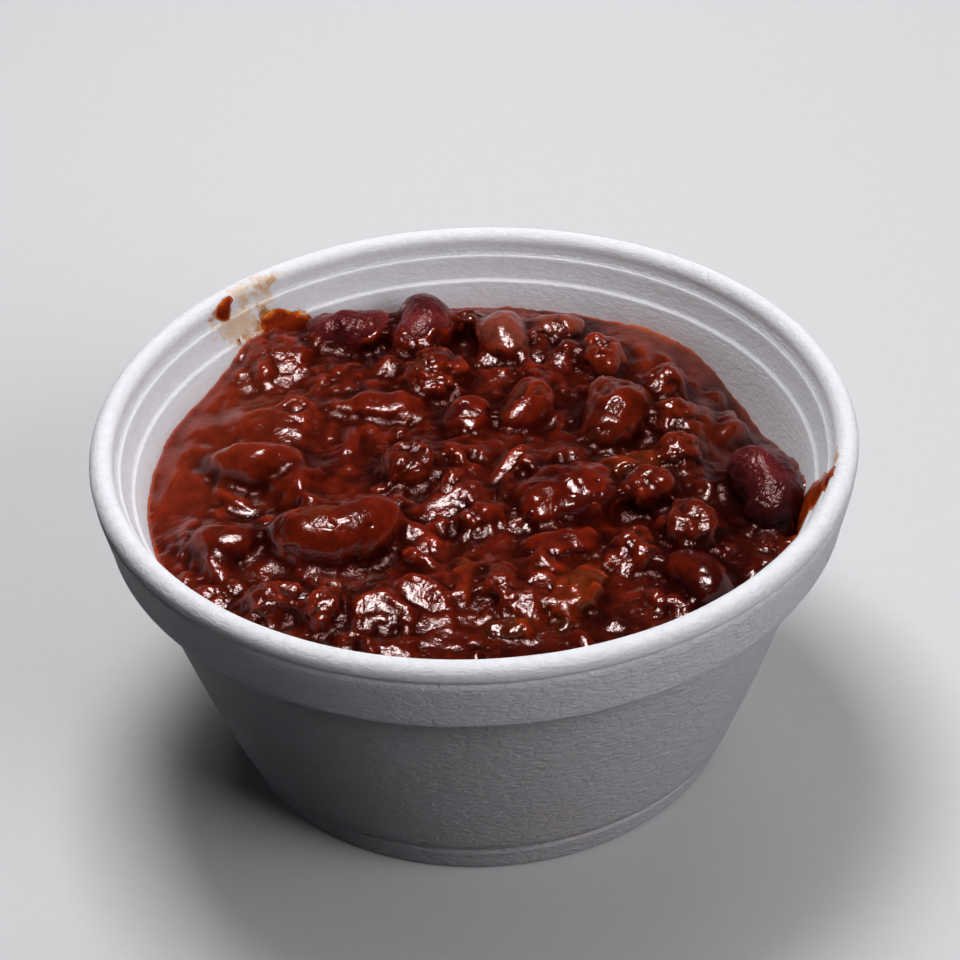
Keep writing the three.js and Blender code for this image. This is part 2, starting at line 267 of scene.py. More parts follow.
def bend(centre, size, start, end, steps):
    """Points on part of an ellipse round a centre, from a start angle to an end angle in degrees."""
    angles = [math.radians(start + (end - start) * i / steps) for i in range(steps + 1)]
    return [(centre[0] + size[0] * math.cos(a), centre[1] + size[1] * math.sin(a)) for a in angles]


def step_in(radius, depth):
    """One lid step, running from the wider wall above it to the narrower wall below it."""
    z = RIM - depth
    half = STEP_WIDTH / 2
    return [
        (radius + half * 0.6, z + 0.9 * half),
        (radius + half * 0.35, z + 0.3 * half),
        (radius - half * 0.5, z - 0.1 * half),
        (radius - half * 0.85, z - 0.5 * half),
        (radius - half, z - 1.3 * half),
    ]


def bowl_outline():
    """Radius and height of each point, from the middle of the underside to the middle of the floor."""
    foot = [(0, BASE_RECESS), (BASE_RECESS_RADIUS, BASE_RECESS), (BASE_RECESS_RADIUS + MM, 0)]
    foot += bend((BASE_RADIUS - BASE_EDGE, BASE_EDGE), (BASE_EDGE, BASE_EDGE), -90, -10, 5)
    foot += [(BASE_RADIUS + (FOOT_RADIUS - 0.55 * MM - BASE_RADIUS) * s,
              BASE_EDGE + (FOOT_HEIGHT - 2 * MM) * s)
             for s in (0.25, 0.5, 0.75, 1)]
    groove = [(FOOT_RADIUS - GROOVE_DEPTH, FOOT_HEIGHT - 0.5 * MM),
              (FOOT_RADIUS - GROOVE_DEPTH, FOOT_HEIGHT - 0.2 * MM),
              (FOOT_RADIUS - 0.25 * MM, FOOT_HEIGHT)]
    heights = [FOOT_HEIGHT + 0.4 * MM + (COLLAR_BOTTOM - FOOT_HEIGHT - 1.4 * MM) * i / 20 for i in range(21)]
    wall = [(wall_radius(z), z) for z in heights]
    under = bend((UNDER_COLLAR_RADIUS + 1.2 * MM, COLLAR_BOTTOM - MM), (1.2 * MM, MM), 180, 100, 4)
    shoulder = bend((COLLAR_BOTTOM_RADIUS - COLLAR_EDGE, COLLAR_BOTTOM + COLLAR_EDGE),
                    (COLLAR_EDGE, COLLAR_EDGE), -80, -8, 5)
    collar_top = RIM - LIP_HEIGHT - 0.9 * MM
    collar = [(COLLAR_BOTTOM_RADIUS + (COLLAR_TOP_RADIUS - COLLAR_BOTTOM_RADIUS) * s,
               COLLAR_BOTTOM + 1.4 * MM + (collar_top - COLLAR_BOTTOM - 1.4 * MM) * s)
              for s in (0.15, 0.35, 0.55, 0.75, 0.92)]
    crease = [(COLLAR_TOP_RADIUS - 0.05 * MM, collar_top + 0.2 * MM),
              (COLLAR_TOP_RADIUS - 0.4 * MM, collar_top + 0.55 * MM),
              (COLLAR_TOP_RADIUS - 0.38 * MM, collar_top + 0.8 * MM)]
    lip_size = (LIP_WIDTH / 2, LIP_HEIGHT - 0.6 * MM)
    lip = bend((LIP_RADIUS - LIP_WIDTH / 2, RIM - lip_size[1]), lip_size, -22, 172, 18)
    seat = [(LIP_RADIUS - LIP_WIDTH - 0.02 * MM, RIM - 2.0 * MM),
            (LIP_RADIUS - LIP_WIDTH - 0.05 * MM, RIM - 2.6 * MM)]
    steps = step_in(LID_STEP_RADII[0], LID_STEP_DEPTHS[0]) + step_in(LID_STEP_RADII[1], LID_STEP_DEPTHS[1])
    corner = FLOOR + FLOOR_CORNER
    low = RIM - LID_STEP_DEPTHS[1] - STEP_WIDTH
    inside = [(inner_radius(z), z) for z in [low + (corner - low) * i / 16 for i in range(17)]]
    inside += bend((inner_radius(corner) - 5 * MM, corner), (5 * MM, FLOOR_CORNER), -8, -90, 6)
    outside = foot + groove + wall + under + shoulder + collar + crease
    return outside + lip + seat + steps + inside + [(0, FLOOR)]


# %% Foam bowl: spun, and dented a little
DENTS = ((9, 0.06), (2.6, 0.02))  # width and depth of the soft dents in the foam, millimetres
DENT_SEED = 3
FLAT_FOOT = 1.5 * MM  # the foot stays even below this height


def foam_bowl():
    """Spins the outline, then presses in the faint unevenness of soft foam."""
    bm = bmesh.new()
    outline = [bm.verts.new((radius, 0, z)) for radius, z in bowl_outline()]
    edges = [bm.edges.new(pair) for pair in zip(outline, outline[1:])]
    bmesh.ops.spin(bm, geom=outline + edges, cent=(0, 0, 0), axis=(0, 0, 1), angle=math.tau,
                   steps=BOWL_STEPS, use_merge=True)
    bmesh.ops.remove_doubles(bm, verts=bm.verts, dist=1e-6)
    bmesh.ops.recalc_face_normals(bm, faces=bm.faces)
    obj = new_object("foam_bowl_shell", bm)
    places = points_of(obj)
    dents = np.zeros(len(places))
    for i, (width, depth) in enumerate(DENTS):
        dents += depth * MM * np.clip(waves(places, width * MM, DENT_SEED + i), 0, 1)
    dents *= places[:, 2] > FLAT_FOOT
    set_points(obj, places - normals_of(obj) * dents[:, None])
    return obj


bowl = foam_bowl()
print("foam bowl: faces", len(bowl.data.polygons))

# %% [markdown]
# ## Beans, onion and tomato
# A cooked kidney bean is a plump bent ellipsoid in a thin wet skin, which wrinkles where it has shrunk, and
# stewed onion and tomato go soft and folded. Each could be sculpted by hand, but each has its own solid
# already: Catmull-Clark subdivision rounds it, it is fitted back to the solid's size, since subdivision
# shrinks a shape, and noise pushes folds and dimples into it.

# %% Rounded copies of the solids


def rounded(node, name, levels):
    """A subdivided copy of a solid, grown back to the solid's own extent."""
    obj = with_modifier(new_object(name, solid_copy(node)), "SUBSURF", levels=levels, render_levels=levels)
    low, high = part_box(node)
    places = points_of(obj)
    middle = np.array((low + high) / 2)
    growth = np.array(high - low) / (places.max(0) - places.min(0))
    set_points(obj, middle + (places - middle) * growth)
    return obj


def roughened(obj, relief, seed):
    """Pushes the surface in and out. relief lists pairs of a lump size and a height, in millimetres."""
    places = points_of(obj)
    push = np.zeros(len(places))
    for size, height in relief:
        push += height * MM * waves(places, size * MM, seed + size)
    set_points(obj, places + normals_of(obj) * push[:, None])
    return obj


ROUNDING = 3  # subdivision levels
WRINKLED = [(6, 0.35), (2.6, 0.42), (1.2, 0.16)]  # size and height of each layer of relief, millimetres
TAUT = [(7, 0.3), (2.2, 0.14), (1.2, 0.08)]
COATED = [(6, 0.3), (2.4, 0.12)]
SOFT = [(5, 0.9), (2.6, 0.55), (1.2, 0.2)]
CHUNKY = [(4.5, 0.7), (2.2, 0.4), (1.2, 0.16)]
LUMPY = [(4.5, 0.45), (2.2, 0.32), (1.2, 0.12)]
BEAN_RELIEF = {
    "bean_middle_right": CHUNKY, "bean_back_left": WRINKLED, "bean_back": TAUT, "bean_right": WRINKLED,
    "bean_left": CHUNKY, "bean_front_right": TAUT, "bean_back_middle": LUMPY,
}

pieces = {}
for index, node in enumerate(name for name in FOOD if name.startswith("bean")):
    pieces[node] = roughened(rounded(node, node + "_skin", ROUNDING), BEAN_RELIEF.get(node, COATED), index)
for index, node in enumerate(name for name in FOOD if name.startswith(("onion", "tomato"))):
    pieces[node] = roughened(rounded(node, node + "_flesh", ROUNDING), SOFT, 20 + index)
print("rounded pieces:", len(pieces))

# %% [markdown]
# ## Minced meat
# Mince cooks into clusters of small crumbs. A displaced ball would look like a stone, because the creases
# between crumbs run deep. So each lump is its solid with many little balls set into its surface. A voxel
# remesh joins them into one skin, and smoothing passes soften the creases between them.

# %% Minced meat
CRUMB_RADII = (0.7, 1.7)  # millimetres
CRUMBS_PER_FACE = 2
CRUMB_SHIFT = 1.1  # millimetres
MEAT_VOXEL = 0.3 * MM
MEAT_RELIEF = [(3.6, 0.6), (1.8, 0.28), (0.8, 0.08)]
MEAT_SEED = 50


def crumb_cluster(node, seed):
    """A lump of meat with crumbs all over it."""
    draw = random.Random(seed)
    bm = solid_copy(node)
    middle = sum((v.co for v in bm.verts), Vector()) / len(bm.verts)
    faces = list(bm.faces)
    for face in faces:
        spot = face.calc_center_median()
        for _ in range(CRUMBS_PER_FACE):
            radius = draw.uniform(*CRUMB_RADII) * MM
            jitter = Vector([draw.uniform(-1, 1) for _ in range(3)]) * CRUMB_SHIFT * MM
            inward = (middle - spot).normalized() * radius * 0.9
            place = Matrix.Translation(spot + jitter * 0.6 + inward)
            squash = Matrix.Diagonal([draw.uniform(0.75, 1.25) for _ in range(3)]).to_4x4()
            bmesh.ops.create_icosphere(bm, subdivisions=2, radius=radius, matrix=place @ squash)
    obj = new_object(node + "_crumbs", bm)
    with_modifier(obj, "REMESH", mode="VOXEL", voxel_size=MEAT_VOXEL)
    with_modifier(obj, "SMOOTH", factor=0.5, iterations=4)
    return roughened(obj, MEAT_RELIEF, seed)


for index, node in enumerate(name for name in FOOD if name.startswith("meat")):
    pieces[node] = crumb_cluster(node, MEAT_SEED + index)
print("meat lumps:", sum(name.startswith("meat") for name in pieces))

# %% [markdown]
# ## The sauce
# Thick sauce takes the shape of all that is sunk in it and rounds it off. A noisy disc with beans stuck in
# it would show hard seams round each bean, so the skin is made as it forms: the sauce's solid, the pieces
# and a few hundred smaller lumps are joined by a voxel remesh. The skin is then swollen, remeshed and shrunk
# again, which fills every crevice with a round fillet, as a liquid that clings does, and leaves a thin film
# on all that stands out.

# %% Sauce: what is sunk in it
SAUCE_VOXEL = 0.435 * MM
SAUCE_CUT = 38.5 * MM
LUMP_COUNT = 340
LUMP_SEED = 11
LUMP_BATCH = 40
LUMP_RADII = (1.0, 3.0)  # millimetres
LUMP_REACH = 48.5 * MM
LUMP_SINKS = (0.1, 0.75)  # share of its radius that a lump's middle lies below the surface
LUMP_STRETCHES = (1, 2.3)
LUMP_WARPS = ((4.5, 1.0), (2.0, 0.6))  # size and push of the noise that bends them out of round, millimetres
CALM_SPOTS = ((-44, 6, 12), (-40, 22, 11), (42, 14, 12), (30, 33, 10))  # x, y, radius of smooth sauce, mm


def near_spots(x, y, spots):
    """1 in the middle of a round spot and 0 far from all. A spot is x, y and radius in millimetres."""
    shares = [np.exp(-((x / MM - middle_x) ** 2 + (y / MM - middle_y) ** 2) / radius ** 2)
              for middle_x, middle_y, radius in spots]
    return np.max(shares, axis=0)


def calm(x, y):
    """1 where the sauce lies smooth, 0 where it is full of lumps."""
    return np.minimum(1.0, 1.3 * near_spots(x, y, CALM_SPOTS))


def scattered_lumps():
    """Place and shape of each small lump: a ball, stretched, turned and sunk in the sauce's top."""
    draw = random.Random(LUMP_SEED)
    sauce = solid_copy("chili_sauce")
    top = BVHTree.FromBMesh(sauce)
    sauce.free()
    shapes = []
    while len(shapes) < LUMP_COUNT:
        reach = LUMP_REACH * math.sqrt(draw.random())
        angle = math.tau * draw.random()
        x, y = reach * math.cos(angle), reach * math.sin(angle)
        keep, size, sink = draw.random(), draw.random(), draw.uniform(*LUMP_SINKS)
        stretch, turn = draw.uniform(*LUMP_STRETCHES), draw.uniform(0, math.pi)
        if keep < 0.9 * calm(x, y):
            continue
        hit = top.ray_cast(Vector((x, y, 0.06)), Vector((0, 0, -1)))[0]
        radius = (LUMP_RADII[0] + (LUMP_RADII[1] - LUMP_RADII[0]) * size ** 2) * MM
        place = Matrix.Translation((x, y, hit.z - sink * radius)) @ Matrix.Rotation(turn, 4, "Z")
        shapes.append(place @ Matrix.Diagonal((radius * stretch, radius / stretch ** 0.5, radius * 0.8, 1)))
    return shapes


def lumps_together(shapes):
    """All lumps in one bmesh, made in batches, since an operator takes longer in a larger bmesh."""
    whole = bmesh.new()
    for start in range(0, len(shapes), LUMP_BATCH):
        few = bmesh.new()
        for shape in shapes[start : start + LUMP_BATCH]:
            bmesh.ops.create_icosphere(few, subdivisions=2, radius=1, matrix=shape)
        batch = bpy.data.meshes.new("batch")
        few.to_mesh(batch)
        few.free()
        whole.from_mesh(batch)
        bpy.data.meshes.remove(batch)
    for vert in whole.verts:
        for size, push in LUMP_WARPS:
            vert.co += noise.noise_vector(vert.co / (size * MM)) * push * MM
    return whole


# %% Sauce: its skin
SWELL = 1.25 * MM
SHRINK = 1.02 * MM  # the rest stays as the film on what stands out


def sauce_skin():
    """Joins sauce, pieces and lumps, and fills the crevices between them."""
    bm = lumps_together(scattered_lumps())
    solid = new_object("sauce_solid", solid_copy("chili_sauce"))
    for obj in [solid, *pieces.values()]:
        bm.from_mesh(obj.data)
    bpy.data.objects.remove(solid)
    obj = new_object("chili_sauce_skin", bm)
    with_modifier(obj, "REMESH", mode="VOXEL", voxel_size=SAUCE_VOXEL)
    with_modifier(obj, "SMOOTH", factor=0.5, iterations=2)
    set_points(obj, points_of(obj) + normals_of(obj) * SWELL)
    with_modifier(obj, "REMESH", mode="VOXEL", voxel_size=SAUCE_VOXEL)
    with_modifier(obj, "SMOOTH", factor=0.5, iterations=5)
    set_points(obj, points_of(obj) - normals_of(obj) * SHRINK)
    return obj


skin = sauce_skin()
print("sauce skin: vertices", len(skin.data.vertices))

# %% [markdown]
# The skin is then finished in steps. It is cut off below its top layer and carried down to the bowl's
# floor in a few rings, since nobody sees more there. At the foam it levels out, reaches the wall and climbs
# it a little, as any liquid does. Here and there it slumps into a smooth slope that catches the light. It
# thins out over the pieces that lie bare, and where a bean stands half out of the sauce it stays round the
# bean's lower half. Crumbs of mince make it lumpy, and slow ripples break up what is still too even.


# %% Sauce: down to the floor
def close_below(obj):
    """Cuts the skin off at a level, and draws its open edge down along the bowl's inside to the floor."""
    bm = bmesh.new()
    bm.from_mesh(obj.data)
    everything = list(bm.verts) + list(bm.edges) + list(bm.faces)
    bmesh.ops.bisect_plane(bm, geom=everything, dist=1e-7, plane_co=(0, 0, SAUCE_CUT), plane_no=(0, 0, 1),
                           clear_inner=True)
    corner = FLOOR + FLOOR_CORNER
    rings = [(inner_radius(z) - 0.3 * MM, z) for z in (30 * MM, 20 * MM, corner)]
    rings += [(inner_radius(corner) - 1.9 * MM, FLOOR + 1.9 * MM),
              (inner_radius(corner) - 5.3 * MM, FLOOR + 0.3 * MM)]
    edges = [edge for edge in bm.edges if edge.is_boundary]
    for radius, z in rings:
        made = bmesh.ops.extrude_edge_only(bm, edges=edges)["geom"]
        edges = [item for item in made if isinstance(item, bmesh.types.BMEdge) and item.is_boundary]
        for vert in {v for edge in edges for v in edge.verts}:
            flat = Vector((vert.co.x, vert.co.y, 0)).normalized() * radius
            vert.co = (flat.x, flat.y, z)
    bmesh.ops.holes_fill(bm, edges=edges, sides=0)
    bmesh.ops.recalc_face_normals(bm, faces=bm.faces)
    bm.to_mesh(obj.data)
    bm.free()
    obj.data.shade_smooth()
    return obj


# %% Sauce: at the foam
RIM_BAND = 2.0 * MM  # the skin is levelled this near to the wall
RIM_RISE = 0.1 * MM  # and may rise this far over its own solid there
RIM_REACH = 0.45 * MM
INTO_WALL = 0.8 * MM  # no lump reaches further into the foam than this
CLEAR_WALL = (51 * MM, 1 * MM, 12 * MM)  # x, y and radius of a stretch of bare wall beside a bean
CLEAR_BAND = 3.5  # times as wide a band is levelled there


def smooth_step(low, high, values):
    """0 below low, 1 above high and a soft S between them."""
    share = np.clip((values - low) / (high - low), 0, 1)
    return share * share * (3 - 2 * share)


def meet_the_wall(obj):
    """Levels the skin near the foam, widens its rim to it, lets it climb, and keeps it out of the wall."""
    places = points_of(obj)
    sauce = solid_copy("chili_sauce")
    top = BVHTree.FromBMesh(sauce)
    sauce.free()
    short = np.hypot(places[:, 0], places[:, 1]) - inner_radius(places[:, 2])
    beside = np.hypot(places[:, 0] - CLEAR_WALL[0], places[:, 1] - CLEAR_WALL[1]) < CLEAR_WALL[2]
    for i in np.nonzero(short > np.where(beside, -CLEAR_BAND, -1) * RIM_BAND)[0]:
        hit = top.ray_cast(Vector((places[i, 0] * 0.95, places[i, 1] * 0.95, RIM)), Vector((0, 0, -1)))[0]
        if hit:
            places[i, 2] = min(places[i, 2], hit.z + RIM_RISE)
    set_points(obj, places)
    upward = normals_of(obj)[:, 2]
    reach = np.hypot(places[:, 0], places[:, 1])
    short = reach - inner_radius(places[:, 2])
    near = smooth_step(-2.2 * MM, -0.5 * MM, short) * (places[:, 2] > SAUCE_CUT)
    places[:, :2] *= (1 + near * RIM_REACH / np.maximum(reach, MM))[:, None]
    climb = smooth_step(-1.6 * MM, -0.4 * MM, short) * smooth_step(0.1, 0.6, upward)
    places[:, 2] += climb * (0.15 * MM + 0.2 * MM * waves(places, 6 * MM, 8))
    most = inner_radius(places[:, 2]) + INTO_WALL
    places[:, :2] *= np.minimum(1, most / np.maximum(np.hypot(places[:, 0], places[:, 1]), MM))[:, None]
    set_points(obj, places)
    return obj


# %% Sauce: smooth slopes
SLOPE_NORMAL = (-0.03, -0.43, 0.90)  # halfway between the eye and the lamps above, so a slope mirrors them
SLOPES = (  # x, y, half length and half width in millimetres, and turn in degrees
    (-3.6, -7.7, 5.2, 2.2, 31), (-8.3, -16.6, 3.2, 1.7, -61), (-9, -29.5, 3.6, 2.4, -49),
    (-15.6, -31.7, 2.6, 1.8, 23), (6.6, -13.7, 1.8, 1.3, 43), (5.2, 0.2, 4.6, 1.1, 53),
    (-28.5, 19.9, 2, 2, 20), (-28.8, 12.4, 1.9, 1.7, 34), (11.2, 33.5, 3.6, 1.6, -88),
    (3.9, 31, 2.2, 1.0, -31), (-6.4, 23.1, 2.2, 0.8, -4), (-34.1, -4.9, 2.4, 0.8, -10),
    (-32.3, -7.4, 1.5, 1.1, 20), (9, -27.9, 2, 1.4, 18), (20.9, 32.2, 2.2, 1.3, -52),
    (-4, -2.8, 2.4, 1.1, 79), (-39.1, -26, 2.6, 1.6, -50), (-27.3, -27.3, 2.4, 1.5, -38),
    (22.5, 5, 2, 0.9, 8), (-35.7, -24.4, 2, 1.2, -46),
)
SLOPE_EDGE = (0.75, 1.6)  # whole inside the first of these shares of its size, and gone past the second
SLOPE_PULL = 0.85
SLOPE_RIPPLES = ((3.2, 0.14), (1.5, 0.08))  # millimetres across, and high


def slumped(obj):
    """Levels the skin towards a rippled plane inside each slope. Returns how much each vertex is in one."""
    places = points_of(obj)
    top = (normals_of(obj)[:, 2] > 0.2) & (places[:, 2] > SAUCE_CUT)
    lean = np.array(SLOPE_NORMAL[:2]) / SLOPE_NORMAL[2]
    uneven = np.zeros(len(places))
    for x, y, long, wide, turn in SLOPES:
        away = places[:, :2] - np.array((x, y)) * MM
        swing = np.radians(turn)
        along = (away @ (np.cos(swing), np.sin(swing))) / (long * MM)
        across = (away @ (-np.sin(swing), np.cos(swing))) / (wide * MM)
        share = (1 - smooth_step(*SLOPE_EDGE, np.hypot(along, across))) * top
        inside = share > 0.9
        if inside.any():
            level = places[inside, 2].mean()
            places[:, 2] += share * SLOPE_PULL * (level - away @ lean - places[:, 2])
            uneven = np.maximum(uneven, share)
    (wide, tall), (narrow, low) = SLOPE_RIPPLES
    ripple = tall * waves(places, wide * MM, 61) + low * waves(places, narrow * MM, 62)
    places[:, 2] += uneven * ripple * MM
    set_points(obj, places)
    return uneven


# %% Sauce: over the pieces
BARE = {  # share of a piece that lies bare, below 0 where the film over it has no gap
    "bean_back_left": 1.0, "bean_back": 1.1, "bean_right": 1.35, "bean_left": -0.1, "bean_back_middle": -0.1,
    "bean_middle_right": 0.3, "bean_front_left": 0.2, "onion_front": 0.6, "onion_front_chip": 0.6,
    "onion_right": 0.45, "onion_back_strip": 0.0, "tomato_chunk": 0.25, "tomato_skin": 0.5,
    "tomato_middle": 0.15,
}
BARE_ELSE = 0.15
# How fast the sauce closes over a piece, and below which share of its height.
WADE = {"bean_back_left": (4.0, 0.78), "bean_back": (4.0, 0.9)}
WADE_ELSE = (0.9, 0.6)
HALF_SUNK = ("bean_back_left", "bean_back", "bean_back_middle", "bean_back_right")
HALF_SUNK_LINE = (0.6, 0.9)  # shares of the height between which a half sunk piece comes out of the sauce
FILM = 0.22 * MM
NEAR = 1.4 * MM
SEARCH = 3 * MM
PATCH = 4.5 * MM  # size of the bare patches


def all_pieces_tree():
    """One search tree of all pieces, and the piece that each of its polygons belongs to."""
    bm = bmesh.new()
    owner = []
    for name, obj in pieces.items():
        bm.from_mesh(obj.data)
        owner += [name] * len(obj.data.polygons)
    tree = BVHTree.FromBMesh(bm)
    bm.free()
    return tree, owner


def over_the_pieces(obj):
    """Moves the skin just under each piece where the piece is bare.

    Returns its height over the nearest piece, that piece, and 0 where a half sunk piece is under sauce."""
    tree, owner = all_pieces_tree()
    boxes = {name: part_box(name) for name in pieces}
    places = points_of(obj)
    patches = waves(places, PATCH, 5, 2)
    patches = np.argsort(np.argsort(patches)) / len(patches)
    gap = np.full(len(places), 9.0)
    nearest = [""] * len(places)
    for i in np.nonzero(places[:, 2] > SAUCE_CUT)[0]:
        place = Vector(places[i])
        spot, normal, face, distance = tree.find_nearest(place, SEARCH)
        if face is None:
            continue
        gap[i] = math.copysign(distance, (place - spot).dot(normal))
        nearest[i] = owner[face]
        if distance > NEAR:
            continue
        low, high = boxes[nearest[i]]
        height = (place.z - low.z) / (high.z - low.z)
        steepness, waterline = WADE.get(nearest[i], WADE_ELSE)
        cover = 1 - BARE.get(nearest[i], BARE_ELSE) + steepness * max(0.0, waterline - height)
        bare = min(1.0, max(0.0, (patches[i] - cover) / 0.1 + 0.5))
        pull = bare * (1 - distance / NEAR) ** 0.5
        places[i] += np.array(normal) * (-FILM - gap[i]) * pull
        gap[i] += (-FILM - gap[i]) * pull
    set_points(obj, places)
    shares = [(z - boxes[name][0].z) / (boxes[name][1].z - boxes[name][0].z) if name in HALF_SUNK else 1.0
              for z, name in zip(places[:, 2], nearest)]
    return gap, nearest, smooth_step(*HALF_SUNK_LINE, np.array(shares))


# %% Sauce: crumbs and ripples
def crumbs(points, size, seed):
    """Round bumps side by side, size metres apart: about 1 on top of each and -0.5 in the creases."""
    shift = Vector((seed * 3.1, seed * 1.7, seed * 2.3))
    places = [Vector(p) / size + shift for p in points]
    nearest = [noise.voronoi(p + 0.4 * noise.noise_vector(0.7 * p))[0][0] for p in places]
    return 1 - 2.2 * np.array(nearest) ** 2


MEAT_PATCH = 8 * MM
CRUMB_SIZES = ((2.3, 0.30), (1.2, 0.16))  # millimetres across, and high
RIPPLE_SIZES = ((2.4, 0.12), (1.2, 0.07))
SWELL_SIZES = ((5, 0.4), (2.6, 0.22))  # slow swells where the sauce lies calm


def relief_of(kind, places, sizes, seed):
    """Two layers of crumbs or waves, each with its size and height."""
    (wide, tall), (narrow, low) = sizes
    return tall * kind(places, wide * MM, seed) + low * kind(places, narrow * MM, seed + 1)


def meatiness(places):
    """How much mince lies under each place: more at the meat lumps, none in calm sauce or on beans."""
    is_meat = np.array([name.startswith("meat") for name in film_over])
    is_other = np.array([name.startswith(("bean", "onion", "tomato")) for name in film_over]) * film_clear
    close = np.exp(-np.abs(film) / (1.2 * MM))
    mixed = 0.25 + 0.75 * smooth_step(-0.25, 0.35, waves(places, MEAT_PATCH, 77, 2))
    mixed *= 1 - 0.9 * calm(places[:, 0], places[:, 1])
    return np.clip(mixed + is_meat * close, 0, 1) * (1 - 0.85 * is_other * close)


def roughen_skin(obj):
    """Raises crumbs where the sauce is meaty, and slow ripples everywhere."""
    places = points_of(obj)
    upper = places[:, 2] > SAUCE_CUT
    quiet = calm(places[:, 0], places[:, 1])
    push = meatiness(places) * relief_of(crumbs, places, CRUMB_SIZES, 3)
    push += (1 - 0.75 * quiet) * relief_of(waves, places, RIPPLE_SIZES, 31)
    push += quiet * relief_of(waves, places, SWELL_SIZES, 33)
    set_points(obj, places + normals_of(obj) * (push * MM * upper)[:, None])


close_below(skin)
meet_the_wall(skin)
pools = slumped(skin)
film, film_over, film_clear = over_the_pieces(skin)
with_modifier(skin, "SMOOTH", factor=0.5, iterations=1)
roughen_skin(skin)
print("sauce skin: triangles about", 2 * len(skin.data.polygons))

# %% [markdown]
# The colour of the sauce isn't even: it is brighter where it lies thick and oily, browner where it is thin
# over meat, and amber or orange over onion and tomato. A painted picture could carry this, but it would have
# to be laid over every fold. So each vertex gets the colour of what lies under it, mixed by how thin the film
# over it is, in an attribute that the material reads. Two more attributes say how grainy the spot is, since
# crumbs and spice roughen it and pure sauce is smooth, and how thick its clear coat of fat is: full on what
# stands out, and thin in the hollows, which stay dull. Painted shade darkens the hollows, the deeper the
# darker, and the sauce on the right and at the front.

# %% Sauce: the colour of each spot
TINTS = {
    "deep": "#511005", "mid": "#751b08", "warm": "#a02c0b", "calm": "#963116", "meat": "#85290c",
    "onion": "#b23f0a", "tomato": "#781805", "bean": "#711f06", "dark": "#5c1711", "oil": "#cd5a1b",
    "pale": "#b0604a", "dim": "#b0563e",
}
TINT_OF = {  # pieces that show through in another tone than the rest of their kind
    "bean_back_left": "dark", "bean_back": "dark", "bean_right": "dark", "bean_left": "dark",
    "bean_front_right": "dark", "bean_back_middle": "pale", "bean_back_right": "dim",
}
SHOWS_THROUGH = {  # how much of a covered piece the thinnest film lets through
    "onion_back_strip": 0.05, "tomato_middle": 0.7, "bean_left": 0.1, "bean_back_middle": 0.8,
    "bean_back_right": 0.7,
}
SHOWS_ELSE = 0.3
SHOWS_BARE = 0.7  # and of a piece that lies partly bare
BARE_FROM = 0.2  # a piece is partly bare above this value in BARE
FILM_DEPTH = 0.5  # millimetres of sauce that hide most of a piece
PATCH_TINTS, FLECK_TINTS = 9, 3  # millimetres
OILY_SPOTS = ((31, 41, 7), (50, -10, 6))  # x, y and radius in millimetres
OILY_EDGE = (-0.8, -0.15)  # where the oily line along the foam fades in, millimetres from the wall
HOLLOW_SHADE = 0.12  # share of its colour that a deep hollow keeps under the painted shade
HOLLOW_GLOSS = 0.15  # and of its clear coat
RIGHT_SHADE, FRONT_SHADE = 0.44, 0.34  # how much painted shade darkens the sauce on the right and at the front
RIGHT_SIDE = (18, 42)  # x and y, in millimetres, between which these shades grow
FRONT_SIDE = (-24, -42)


def blend_rows(rows, hex_code, share):
    """Mixes rows of colours with one colour, each by its own share."""
    return rows * (1 - share[:, None]) + np.array(colour(hex_code)[:3]) * share[:, None]


def stands_out(obj):
    """How far each vertex lies above the skin's own average round it, in millimetres. A hollow is below 0."""
    even = obj.copy()
    even.data = obj.data.copy()
    bpy.context.scene.collection.objects.link(even)
    with_modifier(even, "SMOOTH", factor=0.5, iterations=60)
    rise = ((points_of(obj) - points_of(even)) * normals_of(obj)).sum(1) / MM
    bpy.data.objects.remove(even)
    return rise


def write_attribute(obj, name, rows):
    """Stores a linear colour for each vertex."""
    attribute = obj.data.attributes.new(name, "FLOAT_COLOR", "POINT")
    attribute.data.foreach_set("color", np.hstack([rows, np.ones((len(rows), 1))]).astype(np.float32).ravel())


def own_colour(places, flecks):
    """The colour of the sauce itself: slow dark patches, warm flecks, and one tone where it lies calm."""
    slow = 0.5 + 0.5 * waves(places, PATCH_TINTS * MM, 41, 2)
    rows = np.tile(np.array(colour(TINTS["mid"])[:3]), (len(places), 1))
    rows = blend_rows(rows, TINTS["deep"], smooth_step(0.45, 0.8, slow))
    rows = blend_rows(rows, TINTS["warm"], smooth_step(0.5, 0.85, flecks) * 0.6)
    return blend_rows(rows, TINTS["calm"], 0.8 * calm(places[:, 0], places[:, 1]))


def seen_through(name):
    """How much of a piece the thinnest film over it lets through."""
    covered = BARE.get(name, BARE_ELSE) <= BARE_FROM
    return SHOWS_THROUGH.get(name, SHOWS_ELSE) if covered else SHOWS_BARE


def pieces_through(rows, flecks):
    """Mixes in the colour of the nearest piece, the more the thinner the film over it is."""
    shows = np.array([seen_through(name) for name in film_over])
    thin = np.exp(-np.maximum(film, 0) / (FILM_DEPTH * MM)) * shows * film_clear * (0.6 + 0.4 * flecks)
    kinds = [TINT_OF.get(name) or name.split("_")[0] or "mid" for name in film_over]
    under = np.array([colour(TINTS[kind])[:3] for kind in kinds])
    return rows * (1 - thin[:, None]) + under * thin[:, None]


def oily_edge(rows, places):
    """Mixes in a thin orange line along the foam, wider and stronger at the oily spots."""
    short = np.hypot(places[:, 0], places[:, 1]) - inner_radius(places[:, 2])
    oily = near_spots(places[:, 0], places[:, 1], OILY_SPOTS)
    edge = smooth_step(*OILY_EDGE, short / MM / (1 + 2.5 * oily))
    return blend_rows(rows, TINTS["oil"], np.clip(0.4 + 0.6 * oily, 0, 1) * edge)


